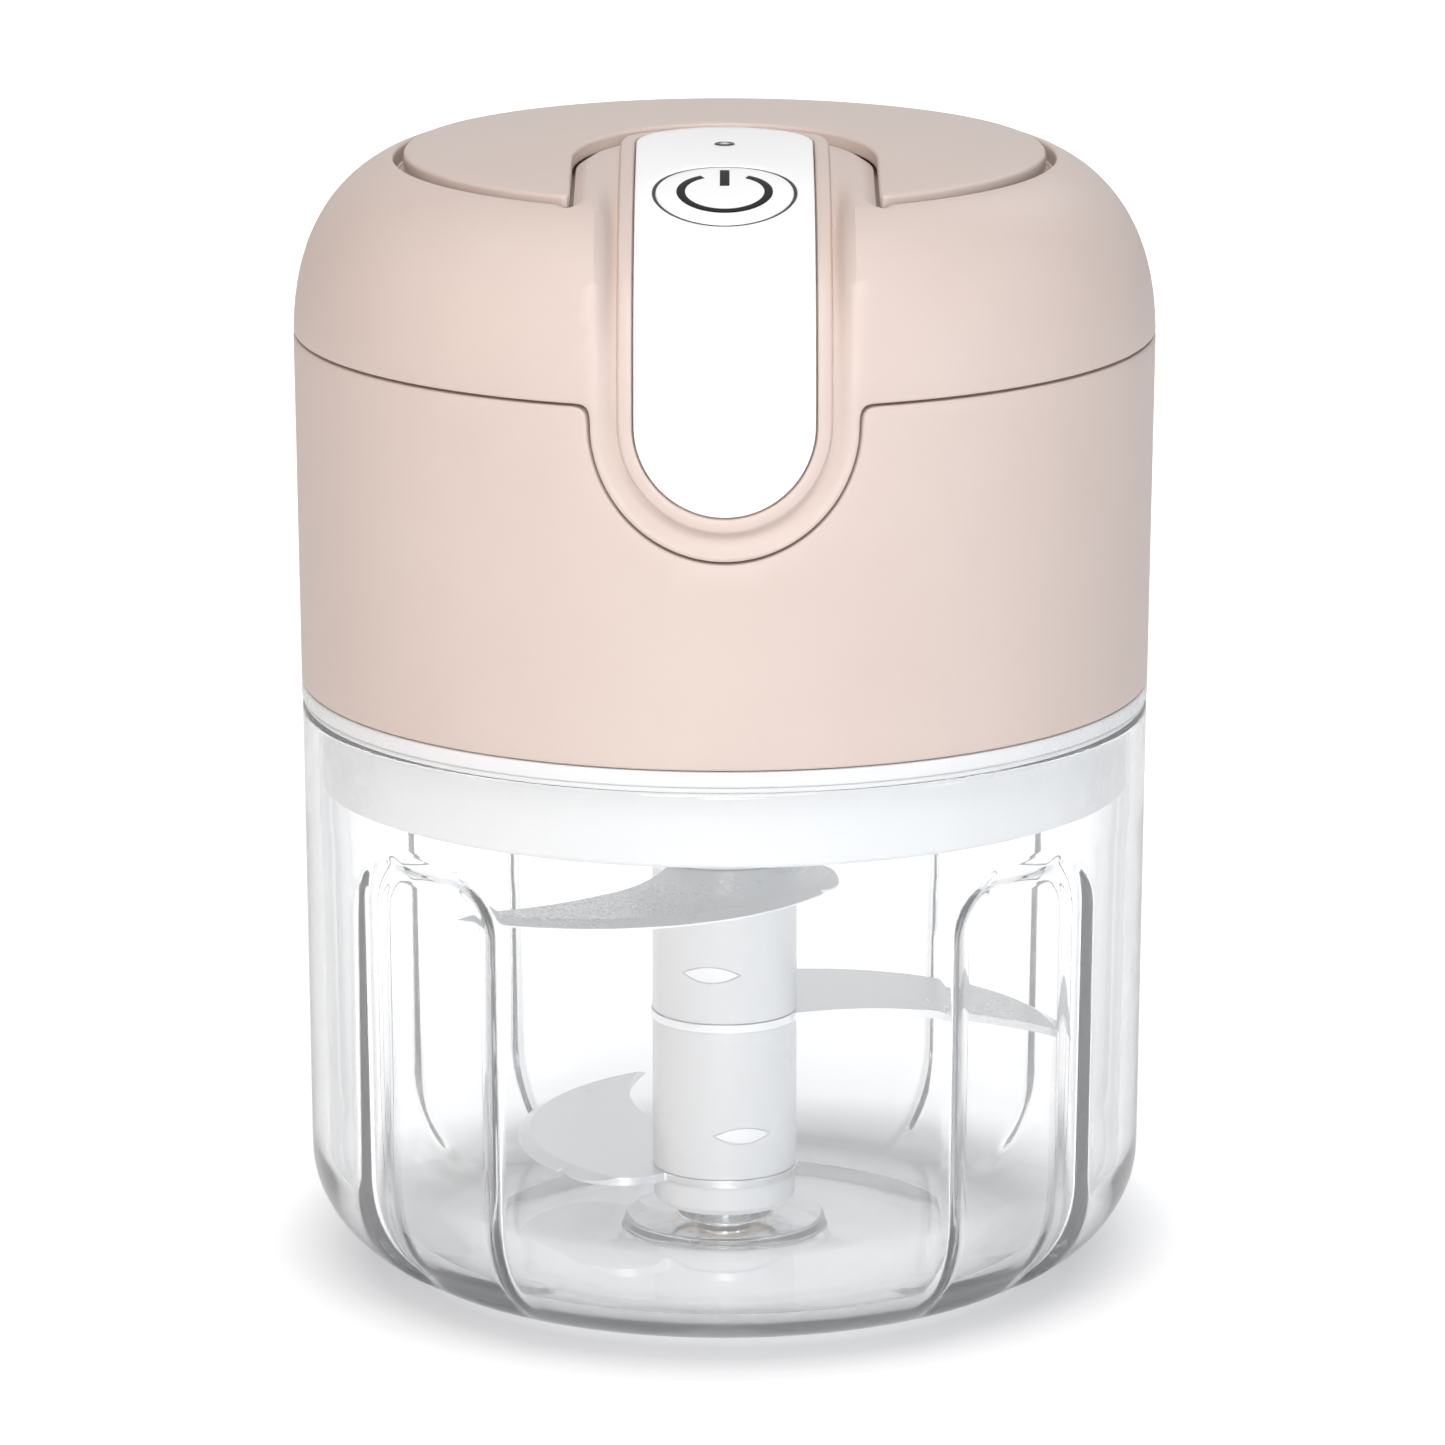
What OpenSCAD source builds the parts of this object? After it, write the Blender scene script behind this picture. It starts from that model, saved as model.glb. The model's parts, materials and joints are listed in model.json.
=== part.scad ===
// Cordless mini food processor: a clear bowl with a three-tier blade stack on a centre pin, and a
// motor head that lifts off the bowl. Millimetres, +Z up, the control strap faces -Y, and the origin
// is the centre of the bowl's underside.

/* [Body] */
// Largest radius, at the foot of the dome
body_r = 41; // [40:0.1:42]
// Radius at the foot of the coloured housing, where the body has narrowed by its draft
foot_r = 40.6; // [40.4:0.1:40.9]
// Height of the split line between the housing and the lower cover
cover_z = 58.1; // [57.9:0.1:58.3]
// Height of the split line between the housing and the dome
seam_z = 91.85; // [91:0.05:92.4]
// Width of the visible split lines
seam_gap = 0.25; // [0.15:0.05:0.4]
// Wall of the housing
housing_wall = 2.3; // [2.1:0.1:2.5]

/* [Dome] */
// Height at which the dome's shoulder starts to turn in
shoulder_z = 90.66; // [90.2:0.02:90.8]
// Height of the shoulder's curve
shoulder_h = 19.2; // [19:0.1:19.4]
// Squareness of the shoulder's curve, where 2 is an ellipse
shoulder_n = 2.42; // [2.3:0.02:2.6]
// Radius at which the shoulder's curve would be level
shoulder_rc = 23.4; // [23:0.1:24]
// Radius of the inlaid top plate
plate_r = 30.4; // [30:0.1:30.6]
// Height of the top plate's rim
plate_rim_z = 109; // [108.9:0.05:109.1]
// Rise of the top plate's crown
crown_h = 2.3; // [2:0.1:2.5]

/* [Control strap] */
// Half the width of the white panel
panel_w = 8.3; // [8:0.1:8.5]
// Half the width of the raised border round the panel
border_w = 9.8; // [9.6:0.1:10]
// Half the width of the tongue that reaches down over the housing
tongue_w = 12.3; // [12:0.1:12.5]
// Half the width of the notch in the top plate
notch_w = 14.2; // [14:0.1:14.5]
// Distance of the panel's upper end centre in front of the axis
panel_top_y = 7.6; // [7.4:0.1:7.8]
// Distance of the indicator light in front of the axis
led_y = 8.3; // [8:0.1:8.6]
// Squareness of the strap's side profile, where 2 is an ellipse
strap_n = 2.6; // [2.5:0.02:2.7]
// Height of the centre of the panel's lower round end
panel_low_z = 90.1; // [89.8:0.1:90.4]
// Distance of the button in front of the axis
button_y = 23.4; // [23:0.1:23.8]
// Tilt of the button towards the front, in degrees
button_tilt = 14.1; // [13.5:0.1:14.5]
// Radius of the power button
button_r = 6.4; // [6.2:0.1:6.5]

/* [Bowl] */
// Height of the bowl's rim
rim_z = 56; // [55.8:0.1:56]
// Wall of the bowl
bowl_wall = 1.6; // [1.5:0.05:1.7]
// Thickness of the bowl's floor
floor_t = 3; // [2.8:0.1:3.2]
// Radius of the flat that the bowl stands on
base_r = 25; // [24:0.5:26]
// Depth of the four arched flutes
flute_d = 1.4; // [1.2:0.1:1.5]
// Half the width of a flute
flute_w = 9.6; // [9:0.1:10]
// Height of the top of a flute
flute_top = 46.6; // [46:0.1:47]
// Bearing of a flute from the front, in degrees
flute_angle = 45.5; // [44:0.5:46]

/* [Blades] */
// Radius of the hub's sleeves
hub_r = 7; // [6.9:0.1:7.1]
// Height of the lowest blade's underside
blade_z = 8.5; // [8.3:0.1:8.7]
// Height from one blade to the next
blade_pitch = 15.6; // [15.4:0.1:15.7]
// Thickness of a blade
blade_t = 0.8; // [0.6:0.1:1]
// Bearing of the lowest blade's tip from the front, in degrees
blade_bearing = -166.4; // [-180:0.1:180]

/* [Hidden] */
$fn = 128;

pink = "mistyrose";
white = "whitesmoke";
steel = "silver";
black = "dimgray";
copper = "peru";

eps = 0.05;

// Housing and cover
bore_r = foot_r - housing_wall;
skirt_r = 38.55;
skirt_z = 48.6;
flange_t = 1.5;
spigot_r = bore_r - 0.2;
well_r = 9;
well_top = 54;
deck_top = 56;

// Strap: the raised border and panel follow one side profile, the groove round it another
strap_r = body_r - 0.4;
strap_h = 20.8;
strap_z = 90.2;
border_h = 0.8;
panel_t = 1.2;
trough_w = tongue_w - 0.7;
notch_y = notch_w - 1.1;
strap_wall = 3.2;

function strap_height(y) = strap_z + strap_h * pow(1 - pow(y / strap_r, strap_n), 1 / strap_n);
button_z = strap_height(button_y);

// Control board, in the button's tilted frame
board_z = -9.8;
board_t = 1.2;
board_bosses = [for (sx = [-1, 1], y = [-7.8, 9.5]) [sx * 7.2, y, 0]];

// Chassis and what stands on it
chassis_z = cover_z + 0.3;
chassis_t = 2;
floor_z = chassis_z + chassis_t;
post_xy = 21.9;
tower_x = 18;
tower_y = 14;
tower_top = 103.4;
cell_x = 26.5;
cell_r = 9.1;
cell_h = 34;

// Motor
can_r = 13.9;
can_h = 26;
can_top = floor_z + can_h;
spindle_r = 1.585;

// Charge socket
port_z = 68;
port_y = 38.6;
hinge_z = 72.4;
hinge_y = 39.85;

// Bowl
corner_z = 12;
wall_low_r = 40.1;
wall_top_r = foot_r - 0.05;
mouth_r = wall_top_r - bowl_wall;
in_corner_z = 13;
in_low_r = 38.45;
in_base_r = 28.5;
boss_r = 9.7;
boss_z = 4.2;
seat_z = 5.3;
pin_r = 2.5;
pin_top = 34;

// Hub
hub_foot = 5.6;
hub_top = 50.6;
core_r = 5.4;
sleeve_bore = core_r + 0.05;
socket_z = 45.3;
dog_r = 3.5;
dog_z = 45.6;
neck_z = 51.5;

// Points on a quarter of a superellipse: from its widest point up to its crest.
function quarter(rc, a, z0, b, n, last = 90, steps = 20) =
    [for (i = [0:steps]) let (t = last * i / steps)
        [rc + a * pow(cos(t), 2 / n), z0 + b * pow(sin(t), 2 / n)]];

// Points on the quarter of an ellipse that turns a wall in to a base: from the wall down to the base.
function turn_in(rc, a, zc, b, steps = 14) =
    [for (i = [0:steps]) let (t = 90 * i / steps) [rc + a * cos(t), zc - b * sin(t)]];

// Points on a crown: from its rim in to the axis.
function crown(r, z, h, steps = 8) =
    [for (i = [0:steps]) let (q = r * (1 - i / steps)) [q, z + h * (1 - pow(q / r, 2))]];

module ring(ro, ri, z0, z1) {
    difference() {
        translate([0, 0, z0]) cylinder(r = ro, h = z1 - z0);
        translate([0, 0, z0 - 1]) cylinder(r = ri, h = z1 - z0 + 2);
    }
}

module rod(r, z0, z1) {
    translate([0, 0, z0]) cylinder(r = r, h = z1 - z0);
}

module at_corners(x, y) {
    for (sx = [-1, 1], sy = [-1, 1]) translate([sx * x, sy * y, 0]) children();
}

// Places children, drawn with +Z outwards, on the button's tilted face.
module on_button_face() {
    translate([0, -button_y, button_z]) rotate([button_tilt, 0, 0]) children();
}

// A pill outline of half width w and half height h.
module pill(w, h) {
    square([2 * (w - h), 2 * h], center = true);
    for (s = [-1, 1]) translate([s * (w - h), 0]) circle(r = h);
}

// ---------- the control strap's solids ----------

// Everything within half width w of the strap's centre line, between its two round ends.
module strap_footprint(w, top_y = panel_top_y) {
    intersection() {
        translate([0, 0, 60]) linear_extrude(60) {
            translate([0, -top_y]) circle(r = w);
            translate([-w, -60]) square([2 * w, 60 - top_y]);
        }
        rotate([90, 0, 0]) translate([0, 0, -20]) linear_extrude(80) {
            translate([0, panel_low_z]) circle(r = w);
            translate([-w, panel_low_z]) square([2 * w, 40]);
        }
    }
}

// The solid inside the strap's surface, sunk by d.
module strap_core(d) {
    reach = strap_r - d;
    curve = [for (p = quarter(0, reach, strap_z, strap_h - d, strap_n)) [-p[0], p[1]]];
    intersection() {
        rotate([90, 0, 90]) translate([0, 0, -30]) linear_extrude(60)
            polygon(concat([[20, 40], [-reach - 1, 40], [-reach - 1, strap_z]], curve, [[20, curve[20][1]]]));
        translate([0, 0, 30]) cylinder(r = reach, h = 100);
    }
}

// The strap's surface layer, from d0 to d1 below its face and half width w.
module strap_layer(w, d0, d1) {
    difference() {
        intersection() {
            strap_footprint(w);
            strap_core(d0);
        }
        strap_core(d1);
    }
}

// The notch in the top plate: a slot with a round back end just behind the axis.
module notch(w) {
    translate([0, 0, 80]) linear_extrude(50) {
        translate([0, -notch_y]) circle(r = w);
        translate([-w, -60]) square([2 * w, 60 - notch_y]);
    }
}

// ---------- bowl ----------

function outer_turn() =
    let (turn = turn_in(base_r, wall_low_r - base_r, corner_z, corner_z)) [for (i = [14:-1:0]) turn[i]];

function inner_turn() =
    let (turn = turn_in(in_base_r, in_low_r - in_base_r, in_corner_z, in_corner_z - floor_t))
        [for (i = [14:-1:0]) turn[i]];

module bowl_outer() {
    rotate_extrude() polygon(concat([[0, 0]], outer_turn(), [[wall_top_r, rim_z], [0, rim_z]]));
}

module bowl_inner() {
    rotate_extrude() polygon(concat(
        [[0, floor_t]], inner_turn(), [[mouth_r, 46], [mouth_r, rim_z + 10], [0, rim_z + 10]]));
}

// The arched outline of a flute, pushed out from the axis at each of the four bearings.
module flute_prisms(w, top) {
    corner = 6.5;
    for (a = [flute_angle, 180 - flute_angle, 180 + flute_angle, 360 - flute_angle])
        rotate([90, 0, a]) linear_extrude(60) {
            translate([-w, -5]) square([2 * w, top - corner + 5]);
            translate([-(w - corner), -5]) square([2 * (w - corner), top + 5]);
            for (s = [-1, 1]) translate([s * (w - corner), top - corner]) circle(r = corner);
        }
}

// The layer inside the wall that keeps its thickness where a flute is pressed in.
module flute_liner() {
    rotate_extrude() polygon([
        [30.8, 2.4], [32.5, 2.4], [36.5, 6.5], [in_low_r + 0.3, in_corner_z], [mouth_r + 0.3, 46],
        [mouth_r + 0.3, 52], [mouth_r - flute_d, 52], [mouth_r - flute_d, 46],
        [in_low_r - flute_d, in_corner_z], [37.4 - flute_d, 8.5], [35.2 - flute_d, 5.6]]);
}

// Everything outside a flute's floor, which runs down the wall and out through the corner.
module flute_cutter() {
    rotate_extrude() polygon([
        [33, -1], [33, 1.2], [36.2 - flute_d, 3.9], [38.4 - flute_d, 6.5],
        [wall_low_r - flute_d, corner_z], [wall_top_r - flute_d, rim_z], [60, rim_z], [60, -1]]);
}

module bowl() {
    color("lightcyan", 0.4) difference() {
        union() {
            difference() {
                bowl_outer();
                bowl_inner();
            }
            intersection() {
                flute_liner();
                flute_prisms(flute_w, flute_top);
            }
            rod(boss_r, floor_t - 1, boss_z);
            rod(4.4, floor_t - 1, seat_z);
        }
        intersection() {
            flute_prisms(flute_w, flute_top);
            flute_cutter();
        }
        rod(pin_r, 1.2, 20);
    }
}

module bowl_pin() {
    color(steel) {
        rod(pin_r, 1.2, pin_top - 1);
        translate([0, 0, pin_top - 1]) cylinder(r1 = pin_r, r2 = pin_r - 0.8, h = 1);
    }
}

// ---------- head: shells ----------

module lower_cover() {
    color(white) difference() {
        union() {
            rod(skirt_r, skirt_z, cover_z - 0.4);
            rod(foot_r, cover_z - flange_t, cover_z);
            rod(spigot_r, cover_z - 0.5, floor_z - 0.1);
        }
        difference() {
            rod(spigot_r - 1.8, skirt_z + 2.2, 70);
            rod(well_r + 2, skirt_z, deck_top);
            at_corners(post_xy, post_xy) rod(4, skirt_z, chassis_z);
        }
        rod(well_r, skirt_z - 1, well_top);
        rod(6, skirt_z, 60);
        at_corners(post_xy, post_xy) {
            rod(3.2, skirt_z - 1, 53.5);
            rod(1.6, 53, 60);
        }
    }
}

module screw_plugs() {
    color(white) at_corners(post_xy, post_xy) rod(3.12, skirt_z, skirt_z + 2.7);
}

module seal_ring() {
    color(white) ring(foot_r - 0.3, skirt_r + 0.05, rim_z + 0.1, cover_z - flange_t);
}

module spindle_seal() {
    color(black) {
        ring(5.95, 3.9, well_top - 0.3, deck_top);
        ring(7.2, 3.9, deck_top, deck_top + 0.6);
    }
}

// The notch that takes the dome's tongue, as a front-to-back prism.
module tongue_prism(w) {
    rotate([90, 0, 0]) linear_extrude(60) {
        translate([0, panel_low_z]) circle(r = w);
        translate([-w, panel_low_z]) square([2 * w, 40]);
    }
}

module housing() {
    top = seam_z - seam_gap / 2;
    color(pink) difference() {
        union() {
            difference() {
                translate([0, 0, cover_z + 0.1]) cylinder(r1 = foot_r, r2 = body_r, h = top - cover_z - 0.1);
                rod(bore_r, 50, 100);
            }
            at_corners(post_xy, post_xy) rod(3.5, floor_z + 0.1, 84);
            for (a = [45, 135, 225, 315]) rotate([0, 0, a])
                translate([31, -1, floor_z + 0.1]) cube([bore_r - 31 + 0.6, 2, 23]);
        }
        at_corners(post_xy, post_xy) rod(1.42, 50, 76);
        tongue_prism(tongue_w + seam_gap);
        port_pocket();
    }
}

// The charge port's slot and the shallow pocket that its cover lies in.
module port_pocket() {
    translate([0, 45, port_z]) rotate([90, 0, 0]) linear_extrude(20) pill(5, 2.1);
    translate([-6.8, 39.5, port_z - 4.1]) cube([13.6, 10, 10.5]);
    translate([-5.2, hinge_y, hinge_z]) rotate([0, 90, 0]) cylinder(r = 1.05, h = 10.4);
}

// The dome's outside before the plate's recess and the strap are cut: shoulder, then a low crown.
module dome_mass() {
    lip_r = plate_r + 1;
    a = body_r - shoulder_rc;
    last = acos(pow((lip_r - shoulder_rc) / a, shoulder_n / 2));
    shoulder = quarter(shoulder_rc, a, shoulder_z, shoulder_h, shoulder_n, last);
    lip_z = shoulder[20][1];
    rotate_extrude() polygon(concat(
        [[0, 70], [body_r, 70]], shoulder,
        [for (i = [1:8]) crown(lip_r, lip_z, 1.75)[i]]));
}

module dome_hollow() {
    rotate_extrude() polygon(concat(
        [[0, 60], [bore_r - 1.6, 60], [bore_r - 1.6, 94]],
        [for (i = [2:20]) quarter(shoulder_rc, bore_r + 0.3 - shoulder_rc, shoulder_z, 15.2, shoulder_n)[i]],
        [[0, shoulder_z + 16.6]]));
}

// The round recess that the top plate lies in, left standing inside the plate's notch.
module plate_recess() {
    difference() {
        rotate_extrude() polygon(concat(
            [[0, 120], [plate_r + 0.95, 120]],
            crown(plate_r + 0.95, plate_rim_z - 1.9, crown_h)));
        notch(notch_w - 0.35);
    }
}

// The space that the dome may fill: above the seam, and down into the tongue.
module dome_reach() {
    rod(60, seam_z + seam_gap / 2, 130);
    tongue_prism(tongue_w);
}

// The shell, thickened under the strap so that the trough has side walls and a floor.
module dome_shell() {
    intersection() {
        dome_mass();
        dome_reach();
        union() {
            difference() {
                rod(60, 60, 130);
                dome_hollow();
            }
            difference() {
                strap_footprint(trough_w + 1.6);
                strap_core(strap_wall);
            }
        }
    }
}

module dome() {
    color(pink) difference() {
        union() {
            difference() {
                dome_shell();
                plate_recess();
                difference() {
                    strap_footprint(trough_w);
                    strap_core(border_h);
                }
            }
            // spigot inside the housing
            difference() {
                ring(spigot_r, spigot_r - 1.7, 88.5, 95);
                tongue_prism(tongue_w + 1);
            }
            // raised border
            intersection() {
                strap_layer(border_w, 0, 1.5);
                notch(notch_w - 0.5);
            }
            at_corners(tower_x, tower_y) rod(3.4, tower_top + 0.1, 107);
            on_button_face() for (p = board_bosses) translate(p + [0, 0, board_z + board_t + 0.1])
                cylinder(r = 1.7, h = 5.3);
        }
        difference() {
            strap_footprint(panel_w + 0.1);
            strap_core(panel_t);
        }
        on_button_face() {
            translate([0, 0, -6]) cylinder(r = button_r + 0.25, h = 12);
            translate([0, 0, -8.2]) cylinder(r = button_r + 1.5, h = 4.8);
            for (p = board_bosses) translate(p + [0, 0, -9]) cylinder(r = 0.82, h = 4.4);
        }
        translate([0, -led_y, 80]) cylinder(r = 0.95, h = 40);
        at_corners(tower_x, tower_y) {
            rod(1.4, 100, 120);
            rod(2.7, 106.5, 120);
        }
    }
}

module top_plate() {
    under = crown(plate_r - 0.6, plate_rim_z - 1.6, crown_h);
    color(pink) difference() {
        rotate_extrude() polygon(concat(
            [for (i = [8:-1:0]) under[i]],
            [[plate_r, plate_rim_z - 0.9]],
            crown(plate_r, plate_rim_z, crown_h)));
        notch(notch_w);
    }
}

module panel() {
    color(white) difference() {
        intersection() {
            strap_layer(panel_w, 0, panel_t - eps);
            notch(notch_w - 0.2);
        }
        on_button_face() translate([0, 0, -10]) cylinder(r = button_r + 0.2, h = 20);
        translate([0, -led_y, 80]) cylinder(r = 0.95, h = 40);
    }
}

module led_lens() {
    color("gray") intersection() {
        translate([0, -led_y, 105.6]) cylinder(r = 0.85, h = 10);
        strap_core(0.1);
    }
}

// ---------- head: inside ----------

module chassis() {
    color(black) difference() {
        union() {
            rod(35.9, chassis_z, floor_z);
            at_corners(tower_x, tower_y) rod(3, chassis_z, tower_top);
            intersection() {
                rod(36.2, floor_z - 1, floor_z + 4);
                for (s = [-1, 1]) translate([s * cell_x, 0, 0]) rod(cell_r + 1.3, floor_z - 1, floor_z + 4);
            }
            for (s = [-1, 1]) translate([s * 5.6, 28.5, 0]) rod(1.8, floor_z - 1, port_z - 2.9);
        }
        rod(5.3, 50, 70);
        for (s = [-1, 1]) {
            translate([s * cell_x, 0, 0]) rod(cell_r + 0.15, floor_z + 0.1, 80);
            translate([s * 8, 0, 0]) rod(1.4, 50, 70);
        }
        at_corners(post_xy, post_xy) rod(1.8, 50, 70);
        at_corners(tower_x, tower_y) rod(1.22, tower_top - 13, 110);
        for (s = [-1, 1]) translate([s * 5.6, 28.5, 0]) rod(0.82, floor_z + 0.5, 70);
    }
}

module motor_can() {
    color(steel) difference() {
        union() {
            rod(can_r, floor_z, can_top);
            rod(5, floor_z - 1.8, floor_z + 1);
        }
        rod(can_r - 1.1, floor_z + 1.2, 100);
        rod(2.6, 50, 70);
        for (s = [-1, 1]) translate([s * 8, 0, 0]) rod(1.22, 50, 70);
    }
}

module motor_magnets() {
    color(black) difference() {
        ring(can_r - 1.15, 10.9, floor_z + 3, floor_z + 21);
        for (a = [0, 90]) rotate([0, 0, a + 45]) translate([-4, -20, 50]) cube([8, 40, 50]);
        translate([-20, -7, 50]) cube([40, 14, 50]);
    }
}

module motor_endcap() {
    color(black) difference() {
        union() {
            rod(can_r - 0.1, can_top, can_top + 2.2);
            rod(4.5, can_top + 1, can_top + 4.4);
            for (s = [-1, 1]) translate([s * 8 - 1.5, -2, can_top + 1]) cube([3, 4, 3]);
        }
        rod(2.6, can_top - 1, can_top + 6);
    }
}

module motor_bushes() {
    color(copper) {
        ring(2.55, spindle_r + 0.035, floor_z - 1.6, floor_z + 2);
        ring(2.55, spindle_r + 0.035, can_top + 0.2, can_top + 4.2);
    }
}

module motor_brushes() {
    color(black) for (s = [-1, 1]) translate([s * 5.9 - 1.5, -1.3, can_top - 3.4]) cube([3, 2.6, 3.4]);
}

module battery_cell(side) {
    translate([side * cell_x, 0, 0]) {
        rod(cell_r, floor_z + 0.15, floor_z + cell_h);
        rod(3, floor_z + cell_h - 0.5, floor_z + cell_h + 0.9);
    }
}

module battery_left() {
    color("steelblue") battery_cell(-1);
}

module battery_right() {
    color("steelblue") battery_cell(1);
}

module battery_tabs() {
    z = floor_z + cell_h + 0.95;
    color(steel) for (s = [-1, 1]) translate([s * 25 - 4.5, -2, z]) cube([9, 4, 0.3]);
}

module control_board() {
    color("seagreen") on_button_face() difference() {
        translate([-9.2, -9.7, board_z]) cube([18.4, 25.7, board_t]);
        for (p = board_bosses) translate(p + [0, 0, board_z - 1]) cylinder(r = 1.05, h = 3);
    }
    color(black) on_button_face() {
        translate([-5, 1, board_z - 1.2]) cube([5, 4, 1.3]);
        translate([2, -4, board_z - 1.5]) cube([4, 7, 1.6]);
    }
}

module power_switch() {
    color(black) on_button_face() difference() {
        translate([-3, -3, board_z + board_t]) cube([6, 6, 3.3]);
        translate([0, 0, -6.8]) cylinder(r = 1.85, h = 5);
    }
}

module status_led() {
    color(white) on_button_face() translate([-0.8, 12.8, board_z + board_t]) cube([1.6, 1.6, 0.9]);
}

module charge_board() {
    color("seagreen") difference() {
        translate([-7.5, 24, port_z - 2.85]) cube([15, 13.3, 1.15]);
        for (s = [-1, 1]) translate([s * 5.6, 28.5, 0]) rod(1.05, 60, 70);
    }
    color(black) translate([-3.2, 26.2, port_z - 1.8]) cube([6.4, 3.8, 1.3]);
}

module charge_socket() {
    color(steel) difference() {
        translate([0, port_y, port_z]) rotate([90, 0, 0]) linear_extrude(7.3) pill(4.47, 1.63);
        translate([0, port_y + 1, port_z]) rotate([90, 0, 0]) linear_extrude(7.3) pill(4.17, 1.28);
    }
    color(black) translate([-3.3, port_y - 6.4, port_z - 0.35]) cube([6.6, 5, 0.7]);
}

module case_screws() {
    color(steel) at_corners(post_xy, post_xy) difference() {
        union() {
            rod(2.8, 51.6, 53.5);
            rod(1.38, 53, 74);
        }
        rotate([0, 0, 45]) translate([-0.35, -2, 51]) cube([0.7, 4, 1.5]);
    }
}

module dome_screws() {
    color(steel) at_corners(tower_x, tower_y) {
        rod(2.5, 106.5, 107.6);
        rod(1.2, tower_top - 12, 107);
    }
}

module motor_screws() {
    color(steel) for (s = [-1, 1]) translate([s * 8, 0, 0]) {
        rod(2.1, chassis_z - 1.4, chassis_z);
        rod(1.2, chassis_z - 1, floor_z + 1.1);
    }
}

module board_screw() {
    cylinder(r = 1.6, h = 1);
    translate([0, 0, -5]) cylinder(r = 0.8, h = 5.5);
}

module board_screws() {
    color(steel) {
        on_button_face() for (p = board_bosses) translate(p + [0, 0, board_z - 0.02]) rotate([180, 0, 0])
            board_screw();
        for (s = [-1, 1]) translate([s * 5.6, 28.5, port_z - 1.68]) board_screw();
    }
}

// A wire that runs straight between the points of its route, with a round elbow at each.
module wire(points, r = 0.6) {
    for (i = [1:len(points) - 1]) {
        d = points[i] - points[i - 1];
        flat = norm([d[0], d[1]]);
        translate(points[i - 1]) rotate([0, atan2(flat, d[2]), atan2(d[1], d[0])])
            cylinder(r = r, h = norm(d), $fn = 24);
    }
    for (i = [1:len(points) - 2]) translate(points[i]) sphere(r = r * 1.1, $fn = 24);
}

// The point just under the control board at a given x and y.
function under_board(x, y) =
    let (z0 = button_z + board_z * cos(button_tilt), y0 = -button_y - board_z * sin(button_tilt))
        [x, y, z0 + (y - y0) * tan(button_tilt) - 0.6];

// One lead on each side, mirrored across the middle plane, red on the right.
module lead_pair(points) {
    color("firebrick") wire(points);
    color("black") wire([for (p = points) [-p[0], p[1], p[2]]]);
}

module motor_leads() {
    top = can_top + 4.3;
    lead_pair([[8, 0, top], [8.3, -1.2, 92.5], [7.6, -11, 96], under_board(7, -14.5)]);
}

module battery_leads() {
    top = floor_z + cell_h + 1.8;
    lead_pair([[23, 0, top], [21.5, -2, 98.5], under_board(3.4, -10.2)]);
}

module charge_leads() {
    lead_pair([[5.6, 25, port_z - 1.3], [5.2, 20.5, 73], [5, 18.5, 95], under_board(3.5, -8)]);
}

// ---------- power button ----------

module power_symbol() {
    difference() {
        circle(r = 4.45);
        circle(r = 3.65);
        polygon([[0, 0], [-6 * tan(30), 6], [6 * tan(30), 6]]);
    }
    translate([-0.45, 1.2]) square([0.9, 4.2]);
}

module power_button() {
    color(white) difference() {
        union() {
            difference() {
                intersection() {
                    on_button_face() translate([0, 0, -3.6]) cylinder(r = button_r, h = 20);
                    strap_core(0);
                }
                on_button_face() translate([0, 0, -20.5]) cube([40, 40, 34], center = true);
            }
            on_button_face() {
                translate([0, 0, -4.2]) cylinder(r = button_r + 1, h = 0.7);
                translate([0, 0, -4.4]) cylinder(r = 2, h = 1);
            }
        }
        symbol_inlay(0.3);
    }
}

// The symbol's lines as a solid that starts d below the button's face.
module symbol_inlay(d) {
    difference() {
        on_button_face() translate([0, 0, -3]) linear_extrude(6) power_symbol();
        strap_core(d);
    }
}

module power_mark() {
    color("black") intersection() {
        symbol_inlay(0.3);
        strap_core(0.02);
    }
}

module switch_plunger() {
    color(black) on_button_face() translate([0, 0, -5.9]) cylinder(r = 1.77, h = 1.5);
}

// ---------- rotor ----------

module rotor_core() {
    color(steel) translate([0, 0, floor_z + 6]) difference() {
        linear_extrude(13) {
            circle(r = 3.4);
            for (a = [90, 210, 330]) rotate([0, 0, a]) {
                translate([2, -1.6]) square([7.6, 3.2]);
                difference() {
                    intersection() {
                        circle(r = 10.4);
                        translate([6, -7.7]) square([6, 15.4]);
                    }
                    circle(r = 8.9);
                }
            }
        }
        translate([0, 0, -1]) cylinder(r = spindle_r, h = 20);
    }
}

module rotor_windings() {
    color(copper) for (a = [90, 210, 330]) rotate([0, 0, a]) difference() {
        translate([4.6, -3.4, floor_z + 4.2]) cube([3.5, 6.8, 16.6]);
        translate([0, -1.65, floor_z + 5.95]) cube([20, 3.3, 13.1]);
    }
}

module commutator() {
    color(copper) difference() {
        ring(4.1, spindle_r, floor_z + 21.2, can_top - 0.2);
        for (a = [30, 150, 270]) rotate([0, 0, a]) translate([3.3, -0.25, 50]) cube([2, 0.5, 60]);
    }
}

module spindle() {
    color(steel) rod(spindle_r - 0.005, neck_z + 0.5, can_top + 4.8);
}

module drive_coupling() {
    color(white) difference() {
        union() {
            rod(3.6, neck_z, chassis_z - 0.6);
            rod(5.6, neck_z + 0.3, neck_z + 1.5);
            rotate([0, 0, 30]) translate([0, 0, dog_z]) cylinder(r = dog_r, h = neck_z - dog_z + 0.5, $fn = 6);
        }
        rod(spindle_r, neck_z + 0.5, 70);
    }
}

// ---------- blade stack ----------

module blade_bush() {
    color(copper) {
        ring(3.6, pin_r + 0.05, seat_z + 0.1, 37);
        ring(5.2, 3, seat_z + 0.1, seat_z + 0.6);
    }
}

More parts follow.
